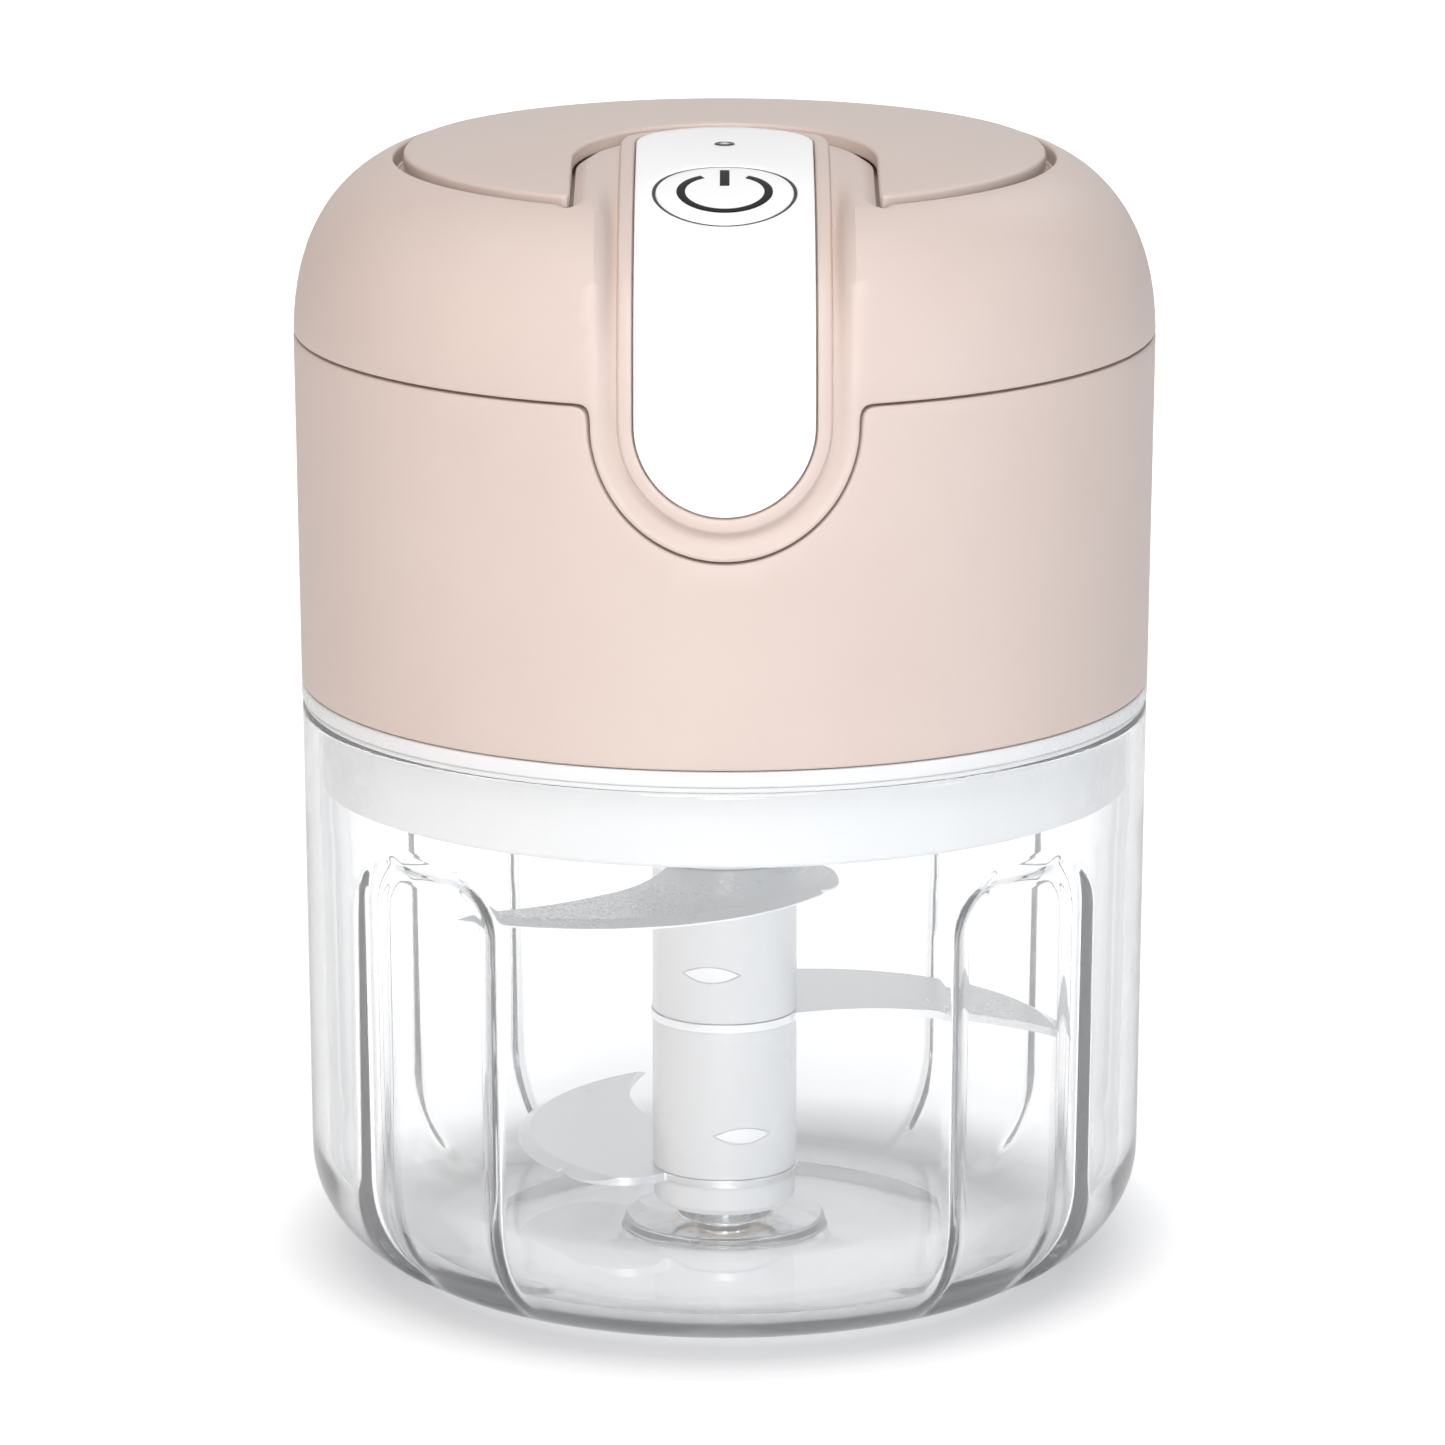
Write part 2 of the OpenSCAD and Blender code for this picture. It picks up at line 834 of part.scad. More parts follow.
module hub_core() {
    color(white) difference() {
        rod(core_r, hub_foot + 0.4, hub_top);
        rod(3.66, hub_foot, 37.5);
        rotate([0, 0, 30]) translate([0, 0, socket_z]) cylinder(r = dog_r + 0.35, h = 10, $fn = 6);
    }
}

module hub_base() {
    color(white) difference() {
        union() {
            rod(hub_r - 0.1, hub_foot + 0.6, blade_z);
            translate([0, 0, hub_foot]) cylinder(r1 = hub_r - 0.7, r2 = hub_r - 0.1, h = 0.6);
        }
        rod(sleeve_bore, 0, 60);
    }
}

// A sleeve with a lens-shaped window at bearing a and height z.
module hub_sleeve(z0, z1, window_z, window_a) {
    reach = 5.66;
    color(white) difference() {
        rod(hub_r, z0, z1);
        rod(sleeve_bore, 0, 60);
        rotate([90, 0, window_a]) translate([0, window_z, 4]) linear_extrude(6) intersection() {
            translate([0, reach - 0.8]) circle(r = reach);
            translate([0, 0.8 - reach]) circle(r = reach);
        }
    }
}

module hub_sleeve_lower() {
    hub_sleeve(blade_z + blade_t, blade_z + blade_pitch, 13.7, 15);
}

module hub_sleeve_upper() {
    hub_sleeve(blade_z + blade_t + blade_pitch, blade_z + 2 * blade_pitch, 29.8, -11.5);
}

module hub_cap() {
    color(white) difference() {
        rod(hub_r, blade_z + 2 * blade_pitch + blade_t, hub_top);
        rod(sleeve_bore, 0, 60);
    }
}

// One scimitar blade: a crescent between two arcs with a bevel along its convex edge, and a ring
// round the hub. Its tip points along +X before it is turned to its bearing.
module blade(tier) {
    back = [11, -6.2];
    back_r = 24;
    hollow = [21, -18.9];
    hollow_r = 23.1;
    bevel = 1.2;
    color(steel) translate([0, 0, blade_z + tier * blade_pitch]) rotate([0, 0, blade_bearing - 120 * tier - 90])
        difference() {
            union() {
                intersection() {
                    linear_extrude(blade_t) difference() {
                        translate(back) circle(r = back_r);
                        translate(hollow) circle(r = hollow_r);
                        translate([-60 + 2.5, -50]) square([60, 100]);
                    }
                    translate([back[0], back[1], -0.01])
                        cylinder(r1 = back_r, r2 = back_r - bevel, h = blade_t + 0.02);
                }
                translate([2.5, 9.6, 0]) cylinder(r = 6.1, h = blade_t);
                cylinder(r = hub_r + 0.15, h = blade_t);
            }
            translate([0, 0, -1]) cylinder(r = sleeve_bore, h = 5);
        }
}

module blade_lower() {
    blade(0);
}

module blade_middle() {
    blade(1);
}

module blade_upper() {
    blade(2);
}

// ---------- charge port cover ----------

module port_cover() {
    face_r = foot_r + 0.05;
    color(pink) {
        difference() {
            union() {
                translate([-6.4, 39.65, port_z - 3.8]) cube([12.8, 1.6, 7.4]);
                translate([-4.4, 39.65, port_z + 3]) cube([8.8, 0.8, 1.2]);
                translate([-4.2, 38.8, port_z - 1.3]) cube([8.4, 1, 2.6]);
            }
            ring(60, face_r, 60, 80);
        }
        translate([-4.8, hinge_y, hinge_z]) rotate([0, 90, 0]) cylinder(r = 0.75, h = 9.6);
    }
}

bowl();
bowl_pin();
lower_cover();
screw_plugs();
seal_ring();
spindle_seal();
housing();
dome();
top_plate();
panel();
led_lens();
chassis();
motor_can();
motor_magnets();
motor_endcap();
motor_bushes();
motor_brushes();
battery_left();
battery_right();
battery_tabs();
control_board();
power_switch();
status_led();
charge_board();
charge_socket();
case_screws();
dome_screws();
motor_screws();
board_screws();
motor_leads();
battery_leads();
charge_leads();
power_button();
power_mark();
switch_plunger();
rotor_core();
rotor_windings();
commutator();
spindle();
drive_coupling();
blade_bush();
hub_core();
hub_base();
blade_lower();
hub_sleeve_lower();
blade_middle();
hub_sleeve_upper();
blade_upper();
hub_cap();
port_cover();
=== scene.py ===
import json
import math

import bmesh
import bpy
import numpy as np
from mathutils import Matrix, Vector
from mathutils.geometry import delaunay_2d_cdt


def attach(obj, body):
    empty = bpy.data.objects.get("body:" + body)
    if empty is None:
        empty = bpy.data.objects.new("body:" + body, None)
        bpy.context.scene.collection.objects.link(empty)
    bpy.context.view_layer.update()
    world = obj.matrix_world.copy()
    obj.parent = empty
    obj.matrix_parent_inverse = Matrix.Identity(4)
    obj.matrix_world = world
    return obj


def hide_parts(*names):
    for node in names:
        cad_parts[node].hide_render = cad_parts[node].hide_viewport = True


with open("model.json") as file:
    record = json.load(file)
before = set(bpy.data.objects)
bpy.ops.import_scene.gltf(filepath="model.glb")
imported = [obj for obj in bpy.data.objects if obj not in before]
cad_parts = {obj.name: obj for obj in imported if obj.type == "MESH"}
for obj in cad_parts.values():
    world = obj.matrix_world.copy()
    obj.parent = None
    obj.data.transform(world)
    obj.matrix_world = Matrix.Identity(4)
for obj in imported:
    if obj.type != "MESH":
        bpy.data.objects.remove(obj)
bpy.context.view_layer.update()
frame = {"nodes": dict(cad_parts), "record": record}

MM = 0.001

# ---- camera, floor and lights

CAMERA_AT = (-0.0002, -0.7645, 0.2354)
CAMERA_DOWN = 13.41
CAMERA_LENS = 203.35

camera_data = bpy.data.cameras.new("camera")
camera_data.lens = CAMERA_LENS
camera_data.sensor_width = 36
camera_data.clip_start = 0.05
camera_data.clip_end = 20
camera = bpy.data.objects.new("camera", camera_data)
camera.location = CAMERA_AT
camera.rotation_euler = (math.radians(90 - CAMERA_DOWN), 0, 0)
bpy.context.collection.objects.link(camera)
bpy.context.scene.camera = camera
bpy.context.scene.view_settings.view_transform = "Standard"
paths = bpy.context.scene.cycles
paths.max_bounces, paths.glossy_bounces, paths.transmission_bounces = 20, 12, 20


def area_light(name, at, target, size, power, colour):
    data = bpy.data.lights.new(name, "AREA")
    data.shape = "RECTANGLE"
    data.size, data.size_y = size
    data.energy = power
    data.color = colour
    light = bpy.data.objects.new(name, data)
    light.location = at
    light.rotation_euler = (Vector(target) - Vector(at)).to_track_quat("-Z", "Y").to_euler()
    bpy.context.collection.objects.link(light)


MIDDLE = (0, 0, 0.06)  # what every lamp is aimed at
LAMPS = {  # where, size in metres, watts, colour
    "key": ((-0.15, -0.88, 0.82), (0.5, 0.5), 2.85, (1.0, 0.99, 0.98)),
    "front": ((0.05, -1.1, 0.22), (0.3, 0.2), 3.2, (1, 1, 1)),
    "top": ((0.0, -0.4, 0.95), (0.6, 0.6), 4.7, (1, 1, 1)),
    "back": ((0.6, 0.8, 0.85), (0.4, 0.4), 0.8, (1, 1, 1)),
    "right_strip": ((0.75, -0.45, 0.22), (0.2, 0.6), 0.9, (0.72, 0.8, 1.0)),
    "left_strip": ((-0.75, -0.25, 0.2), (0.2, 0.6), 0.7, (1.0, 0.66, 0.54)),
}
for lamp, (at, size, watts, colour) in LAMPS.items():
    area_light(lamp, at, MIDDLE, size, watts, colour)


class Nodes:
    """A short way to build a node tree."""

    def __init__(self, tree):
        self.tree = tree
        tree.nodes.clear()

    def add(self, kind, inputs=None, **values):
        node = self.tree.nodes.new(kind)
        for key, value in values.items():
            setattr(node, key, value)
        for key, value in (inputs or {}).items():
            self.feed(node.inputs[key], value)
        return node

    def feed(self, socket, value):
        if isinstance(value, bpy.types.NodeSocket):
            self.tree.links.new(value, socket)
        else:
            socket.default_value = value

    def fill(self, node, inputs, *values):
        for key, value in zip(inputs, values):
            self.feed(node.inputs[key], value)
        return node.outputs

    def math(self, operation, a, b=0.0):
        return self.fill(self.add("ShaderNodeMath", operation=operation), (0, 1), a, b)[0]

    def blend(self, factor, a, b):
        return self.fill(self.add("ShaderNodeMix", data_type="FLOAT"), (0, 2, 3), factor, a, b)[0]

    def mix(self, factor, a, b):
        return self.fill(self.add("ShaderNodeMix", data_type="RGBA"), (0, 6, 7), factor, a, b)[2]

    def spread(self, value, low, high, start=0.25, end=0.75):
        """The value's range from start to end, stretched to run from low to high."""
        keys = ("Value", "From Min", "From Max", "To Min", "To Max")
        return self.fill(self.add("ShaderNodeMapRange", clamp=True), keys, value, start, end, low, high)[0]

    def bump(self, strength, distance, height):
        return self.add("ShaderNodeBump", {
            "Strength": strength, "Distance": distance, "Height": height}).outputs[0]

    def surface(self, shader, **more):
        self.add("ShaderNodeOutputMaterial", {"Surface": shader, **more})

    def noise(self, where, scale, detail=3.0, rough=0.55):
        node = self.add("ShaderNodeTexNoise", {
            "Vector": where, "Scale": scale, "Detail": detail, "Roughness": rough})
        return node.outputs["Fac"]


ROOM_SEEN = 1.1  # how bright the room is to the camera, and through the clear bowl
ROOM_MIRRORED = (0.9, 0.35)  # in a reflection, from the middle to the far left and right
ROOM_BEHIND = 0.85  # what share of that is left at the back of the room
ROOM_LIT = (0.36, 0.0)  # as a lamp, from the middle to the far left and right


def white_room():
    """A room that the eye sees white. Reflected, or as a lamp, it is greyer at the left and right."""
    world = bpy.data.worlds.new("room")
    bpy.context.scene.world = world
    world.use_nodes = True
    n = Nodes(world.node_tree)
    where = n.add("ShaderNodeTexCoord").outputs["Generated"]
    parts = n.add("ShaderNodeSeparateXYZ", {"Vector": where})
    side = n.math("ABSOLUTE", parts.outputs["X"])
    path = n.add("ShaderNodeLightPath")
    behind = n.spread(parts.outputs["Y"], 1.0, ROOM_BEHIND, 0.0, 0.6)
    as_gloss = n.math("MULTIPLY", n.spread(side, *ROOM_MIRRORED, 0.3, 0.95), behind)
    as_light = n.spread(side, *ROOM_LIT, 0.12, 0.8)
    strength = n.blend(path.outputs["Is Glossy Ray"], ROOM_SEEN, as_gloss)
    strength = n.blend(path.outputs["Is Diffuse Ray"], strength, as_light)
    back = n.add("ShaderNodeBackground", {"Color": (1, 1, 1, 1), "Strength": strength})
    n.add("ShaderNodeOutputWorld", {"Surface": back.outputs[0]})


white_room()


FINISHES = {}  # every material by its name, which is the record's material slot


def new_material(name):
    """The nodes of a new, empty material, and the object coordinates that its patterns follow."""
    material = FINISHES[name] = bpy.data.materials.new(name)
    material.use_nodes = True
    n = Nodes(material.node_tree)
    return n, n.add("ShaderNodeTexCoord").outputs["Object"]


FLOOR_HALF = 4.0  # half the sheet's side, in metres
FLOOR_DROP = 0.00005  # how far it lies under the object, so that no two faces share a plane
FLOOR_AS_LAMP = 0.4  # what share of its glow lights the object
FLOOR_MIRRORED = 0.35  # what share of its glow shows in reflections


def pale_floor():
    """A white sheet that also glows, with painted shadow and light: its glow is least in a ring just
    outside the bowl's foot, and a painted pool of light brightens it under the bowl.
    """
    mesh = bpy.data.meshes.new("floor")
    h = FLOOR_HALF
    mesh.from_pydata([(-h, -h, 0), (h, -h, 0), (h, h, 0), (-h, h, 0)], [], [(0, 1, 2, 3)])
    floor = bpy.data.objects.new("floor", mesh)
    floor.location.z = -FLOOR_DROP
    bpy.context.collection.objects.link(floor)
    n, where = new_material("floor")
    paper = n.add("ShaderNodeBsdfDiffuse", {"Color": (0.86, 0.86, 0.865, 1)})
    far = n.add("ShaderNodeVectorMath", {0: where}, operation="LENGTH").outputs["Value"]
    # painted shadow and light: the glow dips in a ring just outside the bowl's foot, rises in a pool under
    # the bowl, and grows towards the far edge
    glow_and_painted_shadow = n.math("ADD", n.spread(far, 0.0, 0.62, 0.034, 0.054), n.spread(far, 0.4, 0.0, 0.022, 0.031))
    glow_and_painted_shadow = n.math("ADD", glow_and_painted_shadow, n.spread(far, 0.0, 0.28, 0.06, 0.4))
    path = n.add("ShaderNodeLightPath")
    mirrored = n.math("MULTIPLY", path.outputs["Is Glossy Ray"], path.outputs["Is Reflection Ray"])
    dimmed = n.math("MULTIPLY", n.spread(path.outputs["Is Diffuse Ray"], 1.0, FLOOR_AS_LAMP, 0.0, 1.0),
                    n.spread(mirrored, 1.0, FLOOR_MIRRORED, 0.0, 1.0))
    glow = n.add("ShaderNodeEmission", {
        "Color": (1, 1, 1, 1), "Strength": n.math("MULTIPLY", glow_and_painted_shadow, dimmed)})
    n.surface(n.fill(n.add("ShaderNodeAddShader"), (0, 1), paper.outputs[0], glow.outputs[0])[0])
    mesh.materials.append(FINISHES["floor"])


pale_floor()

# ---- materials

MICRO = 5200.0  # texture scale per metre of a moulded plastic's fine skin


def finish(name, colour, rough, vary=0.03, rough_vary=0.05, grain=0.6, cloud=70.0, metal=0.0,
           tint=None, fine=MICRO, specular=0.5, coat=0.0, stretch=(1, 1, 1), flecks=0.0):
    """A moulded, cast or drawn surface: cloudy colour, patchy roughness and a fine skin.

    vary and rough_vary spread colour and roughness, cloud and fine are the scales of the patches and of the
    skin, grain is the skin's depth in hundredths of a millimetre, and tint is the patches' dark end."""
    n, where = new_material(name)
    scaled = n.add("ShaderNodeMapping", {"Vector": where, "Scale": stretch}).outputs[0]
    broad = n.noise(scaled, cloud, 4.0)
    skin = n.noise(scaled, fine, 2.0, 0.6)
    light = tuple(min(1, c * (1 + vary)) for c in colour) + (1,)
    dark = tuple(c * (1 - vary) for c in (tint or colour)) + (1,)
    tone = n.mix(n.spread(broad, 0.0, 1.0), dark, light)
    if flecks:
        speck = n.spread(n.noise(scaled, fine * 0.4, 1.0), 0.0, 1.0, 0.62, 0.7)
        tone = n.mix(n.math("MULTIPLY", speck, flecks), tone, tuple(c * 0.6 for c in colour) + (1,))
    patch = n.math("ADD", n.math("MULTIPLY", broad, 0.6), n.math("MULTIPLY", skin, 0.4))
    shader = n.add("ShaderNodeBsdfPrincipled", {
        "Base Color": tone, "Roughness": n.spread(patch, rough - rough_vary, rough + rough_vary, 0.3, 0.7),
        "Metallic": metal, "Specular IOR Level": specular, "Coat Weight": coat, "Coat Roughness": 0.12,
        "Normal": n.bump(0.5, grain * 1e-5, skin)})
    n.surface(shader.outputs[0])


EDGE_ON_SHADE = (0.3, 0.31, 0.32, 1)  # painted shade: the grey that clear plastic seen edge on is painted, standing in for its darker rims


def clear_wall(name, colour=(0.985, 0.99, 0.992), rough=0.012):
    """Clear moulded plastic that lets lamps reach what is inside it."""
    n, where = new_material(name)
    broad = n.noise(where, 45.0, 3.0)
    skin = n.noise(where, 900.0, 2.0)
    tone = n.mix(n.spread(broad, 0.0, 1.0), tuple(c * 0.992 for c in colour) + (1,), colour + (1,))
    rim = n.add("ShaderNodeLayerWeight", {"Blend": 0.5}).outputs["Facing"]
    # painted shade: where the wall is seen edge on its colour turns towards a grey that stands in for
    # darker rims
    tone = n.mix(n.spread(rim, 0.0, 1.0, 0.42, 0.95), tone, EDGE_ON_SHADE)
    glass = n.add("ShaderNodeBsdfPrincipled", {
        "Base Color": tone, "Roughness": n.spread(skin, rough * 0.4, rough * 1.6), "IOR": 1.49,
        "Transmission Weight": 0.955, "Normal": n.bump(0.25, 6e-6, broad)})
    clear = n.add("ShaderNodeBsdfTransparent", {"Color": (0.985, 0.988, 0.99, 1)})
    haze = n.add("ShaderNodeVolumeAbsorption", {"Color": (0.78, 0.79, 0.8, 1), "Density": 75.0})
    path = n.add("ShaderNodeLightPath")
    through = n.math("MAXIMUM", path.outputs["Is Shadow Ray"], path.outputs["Is Diffuse Ray"])
    both = n.fill(n.add("ShaderNodeMixShader"), (0, 1, 2), through, glass.outputs[0], clear.outputs[0])
    n.surface(both[0], Volume=haze.outputs[0])


def two_colour_wire(name):
    """Insulated leads: the pair is red on the right and black on the left."""
    n, where = new_material(name)
    x = n.add("ShaderNodeSeparateXYZ", {"Vector": where}).outputs["X"]
    skin = n.noise(where, 2400.0, 2.0)
    red = n.mix(skin, (0.42, 0.03, 0.025, 1), (0.55, 0.05, 0.04, 1))
    black = n.mix(skin, (0.012, 0.012, 0.013, 1), (0.03, 0.03, 0.032, 1))
    tone = n.mix(n.math("GREATER_THAN", x, 0.0), black, red)
    shader = n.add("ShaderNodeBsdfPrincipled", {
        "Base Color": tone, "Roughness": n.spread(skin, 0.35, 0.5), "Normal": n.bump(0.4, 1e-5, skin)})
    n.surface(shader.outputs[0])


def circuit(name):
    """A green board with a darker pattern of tracks."""
    n, where = new_material(name)
    tracks = n.add("ShaderNodeTexVoronoi", {"Vector": where, "Scale": 420.0},
                   distance="MANHATTAN", feature="F1")
    wave = n.math("FRACT", n.math("MULTIPLY", tracks.outputs["Distance"], 3.0))
    line = n.spread(wave, 0.0, 1.0, 0.42, 0.5)
    tone = n.mix(line, (0.01, 0.13, 0.06, 1), (0.02, 0.22, 0.1, 1))
    shader = n.add("ShaderNodeBsdfPrincipled", {
        "Base Color": tone, "Roughness": n.spread(line, 0.28, 0.42, 0.0, 1.0),
        "Normal": n.bump(0.5, 2e-5, line)})
    n.surface(shader.outputs[0])


PINK, PINK_CLOUD = (0.645, 0.54, 0.49), (0.635, 0.525, 0.475)
clear_wall("clear_plastic")
finish("stainless_steel", (0.68, 0.69, 0.70), 0.3, 0.04, 0.06, 0.5, 60, 1.0,
       fine=2600, stretch=(1, 1, 6))
finish("white_plastic", (0.755, 0.765, 0.77), 0.28, 0.02, 0.05, 0.5)
finish("white_gloss", (0.96, 0.965, 0.97), 0.3, 0.012, 0.04, 0.15, coat=0.5)
finish("white_silicone", (0.74, 0.75, 0.75), 0.55, 0.03, 0.05, 1.0)
finish("black_rubber", (0.03, 0.03, 0.032), 0.6, 0.2, 0.08, 1.4)
finish("pink_plastic", PINK, 0.38, 0.012, 0.04, 0.5, tint=PINK_CLOUD, specular=0.3)
finish("pink_silicone", (0.60, 0.49, 0.44), 0.52, 0.03, 0.05, 1.0)
finish("lens", (0.62, 0.64, 0.64), 0.12, 0.04, 0.04, 0.2)
finish("black_plastic", (0.035, 0.035, 0.038), 0.42, 0.15, 0.08, 1.2, flecks=0.4)
finish("black_ink", (0.004, 0.004, 0.004), 0.45, 0.2, 0.05, 0.2, specular=0.15)
finish("zinc_steel", (0.6, 0.6, 0.61), 0.32, 0.08, 0.08, 0.9, 240, 1.0)
finish("laminated_steel", (0.3, 0.3, 0.31), 0.45, 0.2, 0.1, 2.5, 300, 1.0,
       fine=2000, stretch=(0.2, 0.2, 1))
finish("copper", (0.72, 0.34, 0.17), 0.3, 0.12, 0.08, 1.5, 260, 1.0,
       fine=2400, stretch=(0.3, 0.3, 1))
finish("bronze", (0.6, 0.42, 0.2), 0.38, 0.12, 0.08, 1.0, 300, 1.0)
finish("ferrite", (0.05, 0.05, 0.052), 0.6, 0.2, 0.1, 2.0)
finish("cell_wrap", (0.06, 0.2, 0.42), 0.3, 0.06, 0.06, 0.6)
circuit("circuit_board")
two_colour_wire("wire_insulation")

SLOT_OF = {part["node"]: part["material_slot"] for part in frame["record"]["subparts"]}

for node_name, obj in frame["nodes"].items():
    for material_slot in obj.material_slots:
        material_slot.material = FINISHES[SLOT_OF[node_name]]

# ---- outlines, in millimetres


def stack(*columns):
    """Points out of their coordinates, where a coordinate may be one number for all of them."""
    return np.column_stack(np.broadcast_arrays(*columns))


def arc(cx, cy, r, start, end, count):
    t = np.radians(np.linspace(start, end, count))
    return stack(cx + r * np.cos(t), cy + r * np.sin(t))


def circle(cx, cy, r, count, clockwise=False):
    points = arc(cx, cy, r, 0, 360, count + 1)[:-1]
    return points[::-1] if clockwise else points


def lengths(vectors):
    return np.linalg.norm(vectors, axis=1)


def travelled(line):
    """How far along the line each of its points lies."""
    return np.concatenate(([0], np.cumsum(lengths(np.diff(line, axis=0)))))


def resample(loop, spacing):
    """The closed loop again, with points at an even spacing."""
    closed = np.vstack((loop, loop[:1]))
    along = travelled(closed)
    count = max(8, int(round(along[-1] / spacing)))
    at = np.linspace(0, along[-1], count + 1)[:-1]
    return stack(*(np.interp(at, along, closed[:, k]) for k in (0, 1)))


def soften(loop, corners, reach, spacing=0.3):
    """Rounds a closed outline near the given corner points."""
    loop = resample(loop, spacing)
    gap = np.min([lengths(loop - np.array(c)) for c in corners], axis=0)
    blend = np.clip(2.2 - gap / reach, 0, 1)[:, None]
    smooth = loop.copy()
    for _ in range(int((reach / spacing) ** 2 * 1.6) + 1):
        middle = (np.roll(smooth, 1, 0) + 2 * smooth + np.roll(smooth, -1, 0)) / 4
        smooth = smooth + blend * (middle - smooth)
    return smooth


def relax(values, share):
    """One smoothing step along an open run of values whose two ends stay."""
    values[1:-1] += share * ((values[:-2] + 2 * values[1:-1] + values[2:]) / 4 - values[1:-1])


def left_normals(loop):
    ahead = np.roll(loop, -1, 0) - np.roll(loop, 1, 0)
    normal = stack(-ahead[:, 1], ahead[:, 0])
    return normal / lengths(normal)[:, None]


def distance_to(points, loop):
    """How far each point is from the closed loop."""
    step = np.roll(loop, -1, 0) - loop
    length = np.maximum((step ** 2).sum(1), 1e-12)
    best = np.empty(len(points))
    for k in range(0, len(points), 1500):
        away = points[k:k + 1500, None] - loop[None]
        t = np.clip((away * step).sum(2) / length, 0, 1)
        best[k:k + 1500] = np.sqrt(((away - t[..., None] * step) ** 2).sum(2).min(1))
    return best


def inside(points, loop):
    """Which points the closed loop goes round."""
    x, y = points[:, :1], points[:, 1:2]
    ax, ay = loop.T
    bx, by = np.roll(loop, -1, 0).T
    spans = (ay > y) != (by > y)
    at = ax + (y - ay) * (bx - ax) / np.where(by == ay, 1e-12, by - ay)
    return (spans & (x < at)).sum(1) % 2 == 1


def between(points, loops):
    """Which points lie in the first loop and in none of the others."""
    within = [inside(points, loop) for loop in loops]
    return within[0] & ~np.any(within[1:], axis=0)


def smoothstep(t):
    t = np.clip(t, 0, 1)
    return t * t * (3 - 2 * t)


def contour(points, steps=5):
    """A profile of (r, z) points whose third number, where given, rounds that corner."""
    points = [tuple(p) + (0.0,) * (3 - len(p)) for p in points]
    out = []
    for k, (r, z, fillet) in enumerate(points):
        if fillet == 0 or k in (0, len(points) - 1):
            out.append((r, z))
            continue
        here = np.array((r, z))
        a = np.array(points[k - 1][:2]) - here
        b = np.array(points[k + 1][:2]) - here
        a, b = a / np.linalg.norm(a), b / np.linalg.norm(b)
        half = math.acos(max(-1.0, min(1.0, float(a @ b)))) / 2
        cut = fillet / math.tan(half)
        centre = here + (a + b) / np.linalg.norm(a + b) * fillet / math.sin(half)
        p, q = here + a * cut - centre, here + b * cut - centre
        turn = math.atan2(p[0] * q[1] - p[1] * q[0], float(p @ q))
        for i in range(steps + 1):
            t = turn * i / steps
            c, s = math.cos(t), math.sin(t)
            out.append((centre[0] + c * p[0] - s * p[1], centre[1] + s * p[0] + c * p[1]))
    return out


# ---- solids


def piece(name, points, faces, body, slot_name, nodes, sharp=34.0, weld=2e-3):
    """A mesh object of points in millimetres that rides on a body and takes the place of CAD nodes."""
    mesh = bpy.data.meshes.new(name)
    mesh.from_pydata([tuple(p) for p in np.asarray(points) * MM], [], faces)
    bm = bmesh.new()
    bm.from_mesh(mesh)
    if weld:
        bmesh.ops.remove_doubles(bm, verts=bm.verts, dist=weld * MM)
    bmesh.ops.recalc_face_normals(bm, faces=bm.faces)
    bm.to_mesh(mesh)
    bm.free()
    mesh.shade_smooth()
    mesh.set_sharp_from_angle(angle=math.radians(sharp))
    mesh.materials.append(FINISHES[slot_name])
    obj = bpy.data.objects.new(name, mesh)
    bpy.context.collection.objects.link(obj)
    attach(obj, body)
    if nodes:
        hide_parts(*nodes)


